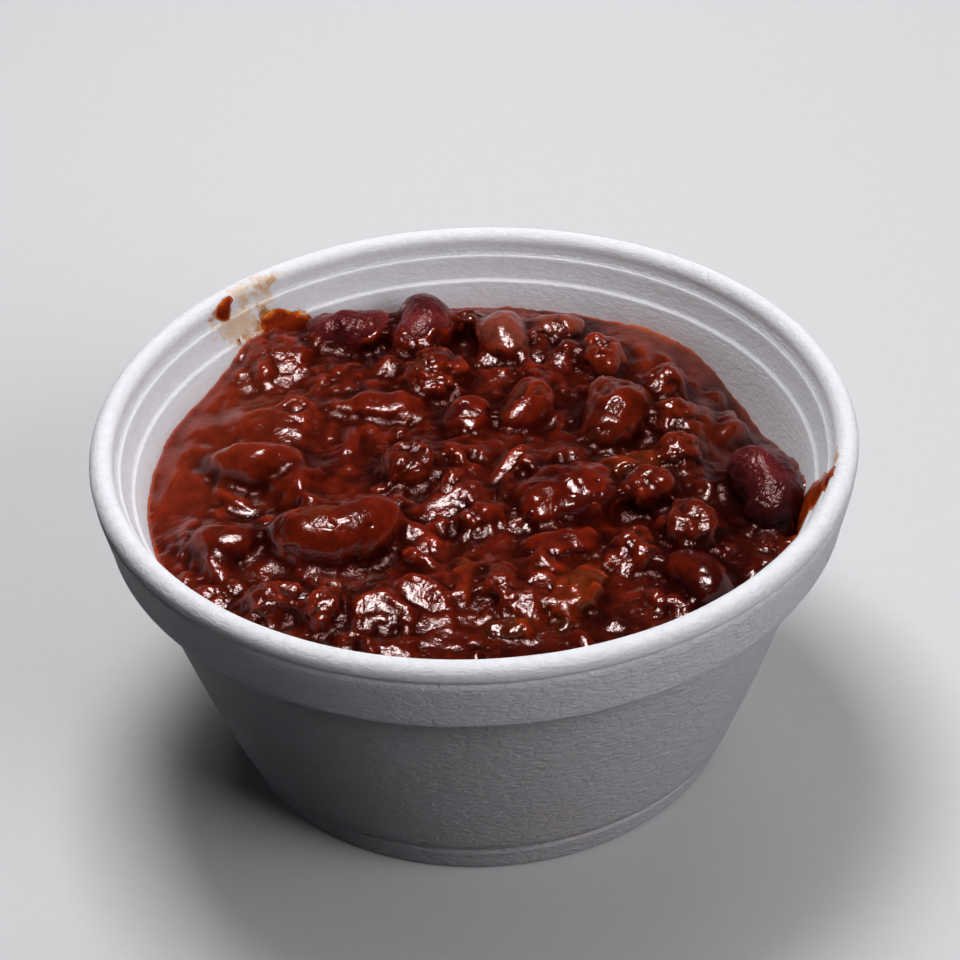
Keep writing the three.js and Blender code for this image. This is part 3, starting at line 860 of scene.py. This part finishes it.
def tint_sauce(obj):
    """Writes the attributes tint, grain and gloss for each vertex of the skin."""
    places = points_of(obj)
    flecks = 0.5 + 0.5 * waves(places, FLECK_TINTS * MM, 42, 3)
    rows = oily_edge(pieces_through(own_colour(places, flecks), flecks), places)
    # painted shade, growing towards the right and towards the front
    rows *= (1 - RIGHT_SHADE * smooth_step(*RIGHT_SIDE, places[:, 0] / MM))[:, None]
    rows *= (1 - FRONT_SHADE * smooth_step(*FRONT_SIDE, places[:, 1] / MM))[:, None]
    # painted shade in the hollows, the deeper the darker
    rise = stands_out(obj)
    rows *= (HOLLOW_SHADE + (1 - HOLLOW_SHADE) * smooth_step(-0.45, 0.45, rise))[:, None]
    write_attribute(obj, "tint", rows)
    grain = np.clip(0.5 + 0.6 * meatiness(places), 0, 1) * (1 - 0.4 * calm(places[:, 0], places[:, 1]))
    write_attribute(obj, "grain", np.repeat(grain[:, None], 3, 1))
    gloss = np.clip(np.maximum(smooth_step(-0.45, 0.05, rise), pools), HOLLOW_GLOSS, 1)
    write_attribute(obj, "gloss", np.repeat(gloss[:, None], 3, 1))


tint_sauce(skin)
print("tinted vertices:", len(skin.data.vertices))

# %% [markdown]
# ## Food materials
# All of this food is wet: light first meets a thin clear layer of fat and sauce, and then the food itself,
# where some of it wanders about below the surface and comes out redder. So each material has a crisp clear
# coat over a base that hardly reflects, and what it does reflect is pinkish. Scattering below the surface
# reaches far for red only, and a fine bump breaks the highlights into sparks. The pieces have two tones in
# patches, and painted shade darkens them towards their bottom and on the right, as it darkens the sauce
# there.

# %% Chili sauce
WET_COAT_ROUGHNESS = 0.05
FOOD_IOR = 1.4
FOOD_SPECULAR = 0.12
FOOD_SPECULAR_TINT = "#ff8c7c"
COAT_IOR = 1.36
SAUCE_RADIUS = (1.0, 0.28, 0.14)  # how far red, green and blue light wander, as shares of the depth
BUMP_SIZE = 0.75  # millimetres between the sparks of fine-ground spice and fat in the sauce
BUMP_HEIGHT = 0.17 * MM
SPECK_SIZE = 0.8  # millimetres between the dark specks of spice
SPECK_COLOUR = "#390a06"
PER_METRE = 1 / MM
# painted shade on the pieces: darker towards their bottom and on the right
SHADE_FULL_BELOW, SHADE_NONE_ABOVE = 44.2 * MM, 50.5 * MM
LOW_SHADE = 0.85
SIDE_SHADE = 0.4
PAINTED_SHADE_COLOUR = "#240608"


def wet_food(base, material_and_tree, grain=0.5, roughness=0.36, scatter=0.3, depth=1.2, coat=1.0):
    """A wet translucent food. base is a socket with its colour, and grain says how uneven it is."""
    material, tree = material_and_tree
    coords = add(tree, "TexCoord").outputs["Object"]
    fine = add(tree, "TexNoise", {"Vector": coords, "Scale": PER_METRE / BUMP_SIZE, "Detail": 2.5,
                                  "Roughness": 0.5})
    height = add(tree, "Math", {0: fine.outputs[0], 1: grain}, operation="MULTIPLY")
    relief = add(tree, "Bump", {"Height": height.outputs[0], "Strength": 1.0, "Distance": BUMP_HEIGHT})
    shader = add(tree, "BsdfPrincipled", {
        "Base Color": base, "Roughness": roughness, "IOR": FOOD_IOR, "Normal": relief.outputs[0],
        "Specular IOR Level": FOOD_SPECULAR, "Specular Tint": colour(FOOD_SPECULAR_TINT),
        "Subsurface Weight": scatter, "Subsurface Radius": SAUCE_RADIUS, "Subsurface Scale": depth * MM,
        "Coat Weight": coat, "Coat IOR": COAT_IOR, "Coat Roughness": WET_COAT_ROUGHNESS,
        "Coat Normal": relief.outputs[0],
    })
    close_material(tree, shader)
    return material


def sauce_material():
    """The sauce takes its colour, grain and coat from the attributes, and has fine specks of spice."""
    made = new_material("chili_sauce_cooked_thick")
    tree = made[1]
    coords = add(tree, "TexCoord").outputs["Object"]
    tint = add(tree, "Attribute", attribute_name="tint")
    grain = add(tree, "Attribute", attribute_name="grain")
    specks = add(tree, "TexNoise", {"Vector": coords, "Scale": PER_METRE / SPECK_SIZE, "Detail": 4.0})
    amount = add(tree, "MapRange", {"Value": specks.outputs[0], "From Min": 0.5, "From Max": 0.75,
                                    "To Max": 0.4})
    mixed = add(tree, "Mix", {"Factor": amount.outputs[0], MIX_A: tint.outputs["Color"],
                              MIX_B: colour(SPECK_COLOUR)}, data_type="RGBA")
    gloss = add(tree, "Attribute", attribute_name="gloss")
    return wet_food(mixed.outputs[MIX_COLOUR], made, grain.outputs["Fac"], coat=gloss.outputs["Fac"])


def mottled_material(name, light, dark, size, **settings):
    """A food whose colour wanders between two tones in patches, with painted shade towards its bottom and on
    the right.
    """
    made = new_material(name)
    tree = made[1]
    coords = add(tree, "TexCoord").outputs["Object"]
    patches = add(tree, "TexNoise", {"Vector": coords, "Scale": PER_METRE / size, "Detail": 4.0,
                                     "Roughness": 0.6})
    amount = add(tree, "MapRange", {"Value": patches.outputs[0], "From Min": 0.35, "From Max": 0.65})
    mixed = add(tree, "Mix", {"Factor": amount.outputs[0], MIX_A: colour(light), MIX_B: colour(dark)},
                data_type="RGBA")
    place = add(tree, "SeparateXYZ", {0: coords})
    # painted shade, growing towards the bottom and towards the right
    low_shade_amount = add(tree, "MapRange", {"Value": place.outputs["Z"], "From Min": SHADE_NONE_ABOVE, "From Max": SHADE_FULL_BELOW,
                                 "To Max": LOW_SHADE})
    side = add(tree, "MapRange", {"Value": place.outputs["X"], "From Min": RIGHT_SIDE[0] * MM,
                                  "From Max": RIGHT_SIDE[1] * MM, "To Max": SIDE_SHADE})
    shade = add(tree, "Math", {0: low_shade_amount.outputs[0], 1: side.outputs[0]}, operation="ADD", use_clamp=True)
    shaded = add(tree, "Mix", {"Factor": shade.outputs[0], MIX_A: mixed.outputs[MIX_COLOUR],
                               MIX_B: colour(PAINTED_SHADE_COLOUR)}, data_type="RGBA")
    return wet_food(shaded.outputs[MIX_COLOUR], made, **settings)


materials = {
    "sauce": sauce_material(),
    "dark_bean": mottled_material("kidney_bean_skin_maroon", "#7a2b2b", "#420e10", 5, grain=1.8, scatter=0.2,
                                  coat=0.36),
    "brown_bean": mottled_material("kidney_bean_in_sauce", "#722608", "#4a1206", 5, grain=1.3, scatter=0.3),
    "meat": mottled_material("minced_beef_browned", "#6e2710", "#421309", 2, grain=1.0, scatter=0.15),
    "onion": mottled_material("onion_cooked_soft", "#9c3e0c", "#782c08", 4, grain=0.4, scatter=0.5,
                              depth=2.5),
    "tomato": mottled_material("tomato_stewed", "#661305", "#440c03", 4, grain=0.6, scatter=0.35, depth=2.0),
}
print("food materials:", len(materials))

# %% [markdown]
# ## Expanded polystyrene
# Steam swells the beads until they press each other flat, so the skin of the foam is satin and uneven, with
# soft clouds a few millimetres wide and hardly visible seams between the beads. The outside shows a rough
# grain, and the inside and the lip are smooth. Light passes a little way into the foam. The outer wall below
# the collar gets painted shade, greyer and a little pink, and tiny pits there are painted white as glints.
# Chili was splashed on the wall in two places, and a thin film of fat dyes the foam there: pale beige where
# it was wiped, orange where it stayed thick. Each stain is an ellipsoid in space with a wandering edge, which
# needs no flat map of the bowl.

# %% Foam
BEAD = 2.6  # millimetres
MOTTLE_SIZE = 1.5  # millimetres
MOTTLE_FLAT = 2.6  # how much wider than tall the clouds are
BLUSH_SIZE = 16  # millimetres
WALL_LEAN = 0.315  # how far the wall leans outwards for each step up
INNER_SIDE, OUTER_SIDE = 38.0 * MM, 38.7 * MM  # radii at the foot, once the lean is taken off
# heights between which the painted shade on the outer wall below the collar comes in
WALL_SHADE_FROM, WALL_SHADE_FULL = COLLAR_BOTTOM + 0.8 * MM, COLLAR_BOTTOM - 0.2 * MM
FOAM_WHITE = "#e9eaee"
FOAM_SEAM = "#e6e7eb"
FOAM_CLOUD = "#dcdde2"
FOAM_SHADED = "#d6d7da"  # painted shade on the outer wall below the collar, greyer than the clean foam
# pink patches and cloudy spots within that painted shade
FOAM_SHADED_PINK = "#d4cdd0"
FOAM_SHADED_CLOUD = "#c8c9cc"
PIT_GAP = 3.0  # millimetres between the open pits, whose shine is painted white as glints
PIT_CORE, PIT_EDGE = 0.05, 0.09  # shares of the gap
# painted glints in the pits, white, only where the painted shade is
PIT_GLINT_COLOUR = "#ffffff"
SMOOTH_LIP = (2.2 * MM, 2.8 * MM)  # depths below the rim between which the grain grows
LIP_ROUGHNESS = 0.3  # 0 would be as smooth as the inside, and 1 as rough as the outer wall
LEAST_ROUGHNESS = 0.25  # share of the outer wall's grain that the inside has
FOAM_BUMP = 0.6 * MM
FOAM_DEPTH = 4.0 * MM
DRY_ROUGHNESS, OILY_ROUGHNESS = 0.55, 0.25
STREAK_SIZE = 1.8  # millimetres
STAIN_WANDER = 0.6  # how far a stain's edge wanders, as a share of its size
STAIN_WHOLE, STAIN_GONE = 0.45, 1.2
PALE, ORANGE, RED = "#dab88e", "#b4641e", "#7c2408"
STAINS = (  # place and half sizes along the wall, across and up, millimetres; turn about Z, colour, strength
    ((-37.5, 37.6, 51.0), (5.5, 2.5, 3.6), 44, PALE, 0.75),
    ((-33.2, 41.6, 52.0), (3.2, 2.0, 3.2), 38, PALE, 0.7),
    ((-33.6, 43.5, 54.9), (4.2, 2.2, 1.6), 37, PALE, 0.6),
    ((-37.2, 40.9, 55.2), (2.2, 2.2, 1.2), 42, PALE, 0.6),
    ((-32.2, 44.6, 54.7), (1.3, 1.4, 0.9), 36, "#c99a62", 0.7),
    ((-34.3, 43.0, 54.8), (1.1, 1.4, 0.9), 38, "#c08a50", 0.7),
    ((-35.5, 39.9, 52.5), (2.6, 1.0, 0.5), 42, "#c08a4a", 0.8),
    ((-33.6, 40.9, 51.2), (1.6, 1.4, 2.4), 40, "#a8651e", 0.9),
    ((-35.6, 38.4, 48.4), (3.0, 1.2, 0.8), 43, "#b8803c", 0.8),
    ((-32.2, 41.2, 49.2), (2.6, 1.6, 1.7), 38, ORANGE, 0.95),
    ((-40.2, 37.1, 54.1), (2.3, 1.6, 1.5), 47, ORANGE, 0.95),
    ((-39.3, 38.6, 54.9), (0.9, 1.2, 0.9), 46, "#b06014", 0.95),
    ((-40.0, 37.2, 53.8), (1.1, 1.3, 0.9), 47, RED, 0.95),
    ((-29.4, 42.9, 48.2), (3.4, 1.4, 1.0), 34, ORANGE, 0.95),
    ((-35.3, 38.3, 46.8), (2.6, 1.6, 2.0), 43, "#b8702a", 0.85),
    ((-37.4, 36.4, 48.4), (0.5, 0.8, 0.45), 45, "#3a1c08", 0.9),
    ((51.2, -12.0, 48.0), (3.4, 2.0, 6.0), 77, "#c0661e", 0.85),
    ((54.2, -11.3, 55.2), (2.3, 0.5, 1.2), 78, "#c8904c", 0.8),
)


def places_on_foam(tree, coords):
    """Three sockets: a spot's height, 1 where it is on the outer side, and 1 where the outer wall below the
    collar gets painted shade.
    """
    height = add(tree, "SeparateXYZ", {0: coords}).outputs["Z"]
    flat = add(tree, "Mapping", {"Vector": coords, "Scale": (1.0, 1.0, 0.0)})
    radius = add(tree, "VectorMath", {0: flat.outputs[0]}, operation="LENGTH")
    upright = add(tree, "Math", {0: height, 1: -WALL_LEAN, 2: radius.outputs["Value"]},
                  operation="MULTIPLY_ADD")
    outside = add(tree, "MapRange", {"Value": upright.outputs[0], "From Min": INNER_SIDE,
                                     "From Max": OUTER_SIDE})
    low = add(tree, "MapRange", {"Value": height, "From Min": WALL_SHADE_FROM, "From Max": WALL_SHADE_FULL})
    wall_shade = add(tree, "Math", {0: low.outputs[0], 1: outside.outputs[0]}, operation="MULTIPLY")
    return height, outside.outputs[0], wall_shade.outputs[0]


def foam_colour(tree, coords, seam, cloud, wall_shade):
    """White with seams and clouds. Where the painted shade goes, it is greyer and pinker, with pits painted
    white as glints.
    """
    clear = add(tree, "Mix", {"Factor": seam, MIX_A: colour(FOAM_SEAM), MIX_B: colour(FOAM_WHITE)},
                data_type="RGBA").outputs[MIX_COLOUR]
    clear = add(tree, "Mix", {"Factor": cloud, MIX_A: clear, MIX_B: colour(FOAM_CLOUD)},
                data_type="RGBA").outputs[MIX_COLOUR]
    broad = add(tree, "TexNoise", {"Vector": coords, "Scale": PER_METRE / BLUSH_SIZE, "Detail": 2.0})
    blush = add(tree, "MapRange", {"Value": broad.outputs[0], "From Min": 0.4, "From Max": 0.65})
    # the painted shade: greyer, in pink patches and clouds
    behind = add(tree, "Mix", {"Factor": blush.outputs[0], MIX_A: colour(FOAM_SHADED),
                               MIX_B: colour(FOAM_SHADED_PINK)}, data_type="RGBA").outputs[MIX_COLOUR]
    behind = add(tree, "Mix", {"Factor": cloud, MIX_A: behind, MIX_B: colour(FOAM_SHADED_CLOUD)},
                 data_type="RGBA").outputs[MIX_COLOUR]
    both = add(tree, "Mix", {"Factor": wall_shade, MIX_A: clear, MIX_B: behind},
               data_type="RGBA").outputs[MIX_COLOUR]
    # pits painted white as glints, only in the painted shade
    pits = add(tree, "TexVoronoi", {"Vector": coords, "Scale": PER_METRE / PIT_GAP, "Randomness": 1.0},
               feature="F1")
    pit_glint = add(tree, "MapRange", {"Value": pits.outputs["Distance"], "From Min": PIT_EDGE,
                                 "From Max": PIT_CORE})
    pit_glint = add(tree, "Math", {0: pit_glint.outputs[0], 1: wall_shade}, operation="MULTIPLY")
    return add(tree, "Mix", {"Factor": pit_glint.outputs[0], MIX_A: both, MIX_B: colour(PIT_GLINT_COLOUR)},
               data_type="RGBA").outputs[MIX_COLOUR]


def stained(tree, coords, base):
    """Lays the ragged stains over a colour. Returns the new colour and how oily each spot is."""
    streaks = add(tree, "TexNoise", {"Vector": coords, "Scale": PER_METRE / STREAK_SIZE, "Detail": 5.0,
                                     "Roughness": 0.7})
    wander = add(tree, "MapRange", {"Value": streaks.outputs[0], "From Min": 0.3, "From Max": 0.7,
                                    "To Min": -STAIN_WANDER, "To Max": STAIN_WANDER})
    oily = 0.0
    for middle, size, turn, tone, strength in STAINS:
        place = add(tree, "Mapping", {"Vector": coords, "Location": [m * MM for m in middle],
                                      "Rotation": (0, 0, math.radians(turn)),
                                      "Scale": [s * MM for s in size]}, vector_type="TEXTURE")
        away = add(tree, "VectorMath", {0: place.outputs[0]}, operation="LENGTH")
        ragged = add(tree, "Math", {0: away.outputs["Value"], 1: wander.outputs[0]}, operation="ADD")
        stain = add(tree, "MapRange", {"Value": ragged.outputs[0], "From Min": STAIN_GONE,
                                       "From Max": STAIN_WHOLE, "To Max": strength},
                    interpolation_type="SMOOTHSTEP").outputs[0]
        base = add(tree, "Mix", {"Factor": stain, MIX_A: base, MIX_B: colour(tone)},
                   data_type="RGBA").outputs[MIX_COLOUR]
        oily = add(tree, "Math", {0: oily, 1: stain}, operation="MAXIMUM").outputs[0]
    return base, oily


def foam_relief(tree, height, outside, seam, mottle):
    """The bump of grain and seams: full on the outer wall, and faint on the lip and inside."""
    below_lip = add(tree, "MapRange", {"Value": height, "From Min": RIM - SMOOTH_LIP[0],
                                       "From Max": RIM - SMOOTH_LIP[1], "To Min": LIP_ROUGHNESS})
    rough = add(tree, "Math", {0: outside, 1: below_lip.outputs[0]}, operation="MULTIPLY")
    rough = add(tree, "MapRange", {"Value": rough.outputs[0], "To Min": LEAST_ROUGHNESS})
    grain = add(tree, "Math", {0: seam, 1: 0.1, 2: mottle}, operation="MULTIPLY_ADD")
    grain = add(tree, "Math", {0: grain.outputs[0], 1: rough.outputs[0]}, operation="MULTIPLY")
    return add(tree, "Bump", {"Height": grain.outputs[0], "Strength": 1.0, "Distance": FOAM_BUMP}).outputs[0]


def foam_material():
    """White, satin and a little translucent foam, with the stains on it."""
    made, tree = new_material("expanded_polystyrene_moulded")
    coords = add(tree, "TexCoord").outputs["Object"]
    beads = add(tree, "TexVoronoi", {"Vector": coords, "Scale": PER_METRE / BEAD}, feature="DISTANCE_TO_EDGE")
    seam = add(tree, "MapRange", {"Value": beads.outputs["Distance"], "From Max": 0.15}).outputs[0]
    stretched = add(tree, "Mapping", {"Vector": coords, "Scale": (1.0, 1.0, MOTTLE_FLAT)})
    mottle = add(tree, "TexNoise", {"Vector": stretched.outputs[0], "Scale": PER_METRE / MOTTLE_SIZE,
                                    "Detail": 4.0, "Roughness": 0.65, "Distortion": 0.6}).outputs[0]
    cloud = add(tree, "MapRange", {"Value": mottle, "From Min": 0.35, "From Max": 0.65,
                                   "To Max": 0.5}).outputs[0]
    height, outside, wall_shade = places_on_foam(tree, coords)
    base, oily = stained(tree, coords, foam_colour(tree, coords, seam, cloud, wall_shade))
    shine = add(tree, "MapRange", {"Value": oily, "To Min": DRY_ROUGHNESS, "To Max": OILY_ROUGHNESS})
    shader = add(tree, "BsdfPrincipled", {
        "Base Color": base, "Roughness": shine.outputs[0], "IOR": 1.5, "Specular IOR Level": 0.25,
        "Normal": foam_relief(tree, height, outside, seam, mottle),
        "Subsurface Weight": 0.4, "Subsurface Radius": (1.0, 0.95, 0.9), "Subsurface Scale": FOAM_DEPTH,
    })
    close_material(tree, shader)
    return made


materials["foam"] = foam_material()
print("foam material with stains:", len(STAINS))

# %% [markdown]
# Where the splashes stayed thick they stand out from the foam as wet drops. Each smear is a fine grid laid
# on the bowl's inside by rays shot outwards, and raised by its own thickness: round blobs side by side, with
# slightly ragged edges, orange where they are thin and dark red where they are thick. Where the thickness
# falls below zero the grid lies under the foam, and those points are deleted.

# %% Thick smears on the wall
SMEAR_CELL = 0.16  # millimetres
SMEARS = {  # azimuth in degrees; then height, half width, half height and thickness of each blob, millimetres
    "smear_back_left": (
        (-133.3, 53.5, 1.7, 1.5, 0.7), (-134.8, 54.6, 1.1, 0.8, 0.35), (-142.6, 47.8, 3.0, 2.3, 0.55),
        (-146.0, 46.4, 3.4, 2.2, 0.55), (-143.5, 45.0, 5.4, 2.8, 0.8), (-144.2, 48.3, 2.0, 1.5, 0.4),
        (-138.0, 45.6, 2.4, 1.9, 0.35), (-135.6, 44.6, 2.6, 1.6, 0.3), (-134.2, 48.4, 0.35, 0.35, 0.3)),
    "smear_right": (
        (77.8, 43.0, 5.2, 3.0, 0.7), (77.5, 45.0, 4.8, 2.8, 0.6), (77.0, 47.2, 4.2, 2.8, 0.5),
        (76.5, 49.6, 3.4, 2.6, 0.5), (75.3, 52.0, 2.4, 2.2, 0.45), (74.6, 53.8, 1.8, 1.6, 0.35),
        (73.9, 55.0, 1.2, 1.2, 0.25)),
}
SMEAR_TOP = 55.2  # millimetres, just under the rim
SMEAR_RADIUS = 52.5  # millimetres, of the wall behind them
GRID_RADIUS = 52
GRID_SPREAD = 75  # degrees to a radian, with some to spare round the ragged edges
GRID_SPARE = 1.3  # half heights from a blob's middle to the grid's lower edge
RAY_START = 40 * MM  # from the axis, well inside the wall
BLOB_EDGE = (0.3, 1.2)  # shares of its size between which a blob thins out
RAGGED = 0.1  # how far the noise pushes a blob's edge, as a share of its size
RAGGED_SIZE = 1.6  # millimetres
HEAPED = (0.35, 0.5)  # a heap is at most this thick, plus this share of what its blobs add up to
SUNK = 0.06  # millimetres that the grid lies under the foam beyond the blobs
UNDER_FOAM = -0.04  # the grid is cut off below this thickness, millimetres
SMEAR_GLOSS = 0.6
SMEAR_TONES = {  # thin, middle and thick
    "smear_back_left": ("#dc8c40", "#b04a12", "#74220a"),
    "smear_right": ("#c87838", "#b04408", "#8c2e08"),
}


def smear_thickness(azimuth, height, blobs):
    """Thickness in millimetres at a place on the wall, below zero beyond the blobs' ragged edges."""
    total = 0.0
    spot = Vector((azimuth * SMEAR_RADIUS / 57.3, height, 0))
    for blob_azimuth, blob_height, half_width, half_height, peak in blobs:
        across = math.radians(azimuth - blob_azimuth) * SMEAR_RADIUS / half_width
        up = (height - blob_height) / half_height
        away = math.hypot(across, up) + RAGGED * noise.noise(spot / RAGGED_SIZE)
        total += peak * (1 - float(smooth_step(*BLOB_EDGE, away)))
    return min(total, HEAPED[0] + HEAPED[1] * total) - SUNK


def smear_grid(blobs):
    """The raised grid of one smear, and the thickness at each of its vertices."""
    wall = tree_of(bowl)
    left = min(azimuth - GRID_SPREAD * width / GRID_RADIUS for azimuth, _, width, _, _ in blobs)
    right = max(azimuth + GRID_SPREAD * width / GRID_RADIUS for azimuth, _, width, _, _ in blobs)
    low = min(height - GRID_SPARE * half_height for _, height, _, half_height, _ in blobs)
    columns = int(math.radians(right - left) * GRID_RADIUS / SMEAR_CELL)
    rows = int((SMEAR_TOP - low) / SMEAR_CELL)
    bm = bmesh.new()
    bmesh.ops.create_grid(bm, x_segments=columns, y_segments=rows, size=0.5)
    hidden, depth = [], []
    for vert in bm.verts:
        azimuth = left + (right - left) * (vert.co.x + 0.5)
        height = low + (SMEAR_TOP - low) * (vert.co.y + 0.5)
        outward = Vector((math.sin(math.radians(azimuth)), -math.cos(math.radians(azimuth)), 0))
        spot = wall.ray_cast(outward * RAY_START + Vector((0, 0, height * MM)), outward)[0]
        thickness = smear_thickness(azimuth, height, blobs)
        vert.co = spot - outward * thickness * MM
        if thickness < UNDER_FOAM:
            hidden.append(vert)
        else:
            depth.append(thickness)
    bmesh.ops.delete(bm, geom=hidden, context="VERTS")
    inner = [vert for vert in bm.verts if not vert.is_boundary]
    for _ in range(6):
        bmesh.ops.smooth_vert(bm, verts=inner, factor=0.5, use_axis_x=True, use_axis_y=True, use_axis_z=True)
    return bm, np.array(depth)


def smear(name, blobs):
    """One smear as a thin skin over the foam, coloured by its thickness."""
    bm, depth = smear_grid(blobs)
    obj = new_object(name, bm)
    thin_tone, tone, thick_tone = SMEAR_TONES[name]
    depth += 0.15 * waves(points_of(obj), 1.3 * MM, 91, 2)
    rows = np.tile(np.array(colour(thin_tone)[:3]), (len(depth), 1))
    rows = blend_rows(rows, tone, smooth_step(-0.05, 0.08, depth))
    write_attribute(obj, "tint", blend_rows(rows, thick_tone, smooth_step(0.1, 0.32, depth)))
    write_attribute(obj, "gloss", np.full_like(rows, SMEAR_GLOSS))
    obj.data.materials.append(materials["sauce"])
    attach(obj, "root")
    return obj


for name, blobs in SMEARS.items():
    print(name, "faces", len(smear(name, blobs).data.polygons))

# %% [markdown]
# ## Putting the pieces in the model
# Every piece takes its finish from its slot in the record, rides on the one body there is, and stands for
# the solid that it was made from, which is then no longer shown.

# %% Put the pieces in the model
SLOT_OF = {part["node"]: part["material_slot"] for part in frame["record"]["subparts"]}


def fit_in(obj, node):
    """Gives a piece its material and lets it stand for a node."""
    obj.data.materials.clear()
    obj.data.materials.append(materials[SLOT_OF[node]])
    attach(obj, "root")
    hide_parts(node)


fit_in(bowl, "foam_bowl")
fit_in(skin, "chili_sauce")
for node, piece in pieces.items():
    fit_in(piece, node)

# %% [markdown]
# ## Stage and light
# The bowl stands on a plain pale floor. A softbox hangs over it and a little behind: it whitens the lip
# and leaves the outside wall in shade. A wide lamp at the front right and a low one behind fill that
# shade, and so does a weak pale sky. These three lamps don't show in what is wet. Two more hang straight
# above and show only there, one small and bright and one wide and soft, as a ceiling light does, so the
# sauce glints wherever it leans a little towards the eye. A single lamp would have to do both jobs, and
# either burn out the foam or leave the sauce dull.

# %% Stage and light
FLOOR_HALF = 4.0
FLOOR_GAP = 0.02 * MM
PAPER_DARK, PAPER_LIGHT = "#cfcfd0", "#d4d4d5"
SKY_COLOUR = "#dfe6f0"
SKY_STRENGTH = 0.025


def paper_material():
    """Matt grey paper with a grain that hardly shows."""
    made, tree = new_material("matt_grey_paper")
    coords = add(tree, "TexCoord").outputs["Object"]
    grain = add(tree, "TexNoise", {"Vector": coords, "Scale": 400.0, "Detail": 3.0})
    base = add(tree, "Mix", {"Factor": grain.outputs[0], MIX_A: colour(PAPER_DARK),
                             MIX_B: colour(PAPER_LIGHT)}, data_type="RGBA")
    shader = add(tree, "BsdfPrincipled", {"Base Color": base.outputs[MIX_COLOUR], "Roughness": 0.9})
    close_material(tree, shader)
    return made


def floor():
    """A wide pale floor just under the foot ring. Returns its object."""
    bm = bmesh.new()
    bmesh.ops.create_grid(bm, x_segments=1, y_segments=1, size=FLOOR_HALF,
                          matrix=Matrix.Translation((0, 0, -FLOOR_GAP)))
    obj = new_object("pale_floor", bm)
    obj.data.materials.append(paper_material())
    return obj


def lamp(name, place, aim, size, power, tone="#ffffff"):
    """A square area lamp that looks at a point. Returns its object."""
    light = bpy.data.lights.new(name, "AREA")
    light.size = size
    light.energy = power
    light.color = colour(tone)[:3]
    obj = bpy.data.objects.new(name, light)
    turn = (Vector(aim) - Vector(place)).to_track_quat("-Z", "Y").to_matrix().to_4x4()
    obj.matrix_world = Matrix.Translation(place) @ turn
    bpy.context.scene.collection.objects.link(obj)
    return obj


floor().visible_diffuse = False  # a pale floor would light the foam from below, and flatten it
key = lamp("key_softbox", (-0.06, 0.18, 0.6), (0, 0, 0.04), 0.22, 3.0, "#fdfdff")
fill = lamp("right_fill", (0.58, -0.45, 0.5), (0, 0, 0.03), 0.5, 4.1, "#fdfcff")
glint = lamp("overhead_glint", (-0.03, 0.0, 0.62), (0, 0, 0.04), 0.19, 4.3, "#fff6f6")
sheen = lamp("overhead_sheen", (-0.03, 0.0, 0.66), (0, 0, 0.04), 0.36, 3.2, "#ffece8")
back = lamp("back_fill", (0.1, 0.7, 0.14), (0, 0, 0.03), 0.5, 2.4, "#fdfcff")
for matt_light in (key, fill, back):
    matt_light.visible_glossy = False  # these light the food and the foam
for mirrored_light in (glint, sheen):
    mirrored_light.visible_diffuse = False  # and these are only mirrored in what is wet

world = bpy.data.worlds.new("pale_sky")
bpy.context.scene.world = world
world.use_nodes = True
background = world.node_tree.nodes["Background"]
background.inputs["Color"].default_value = colour(SKY_COLOUR)
background.inputs["Strength"].default_value = SKY_STRENGTH
bpy.context.scene.view_settings.view_transform = "Standard"
print("lamps:", [obj.name for obj in (key, fill, back, glint, sheen)])
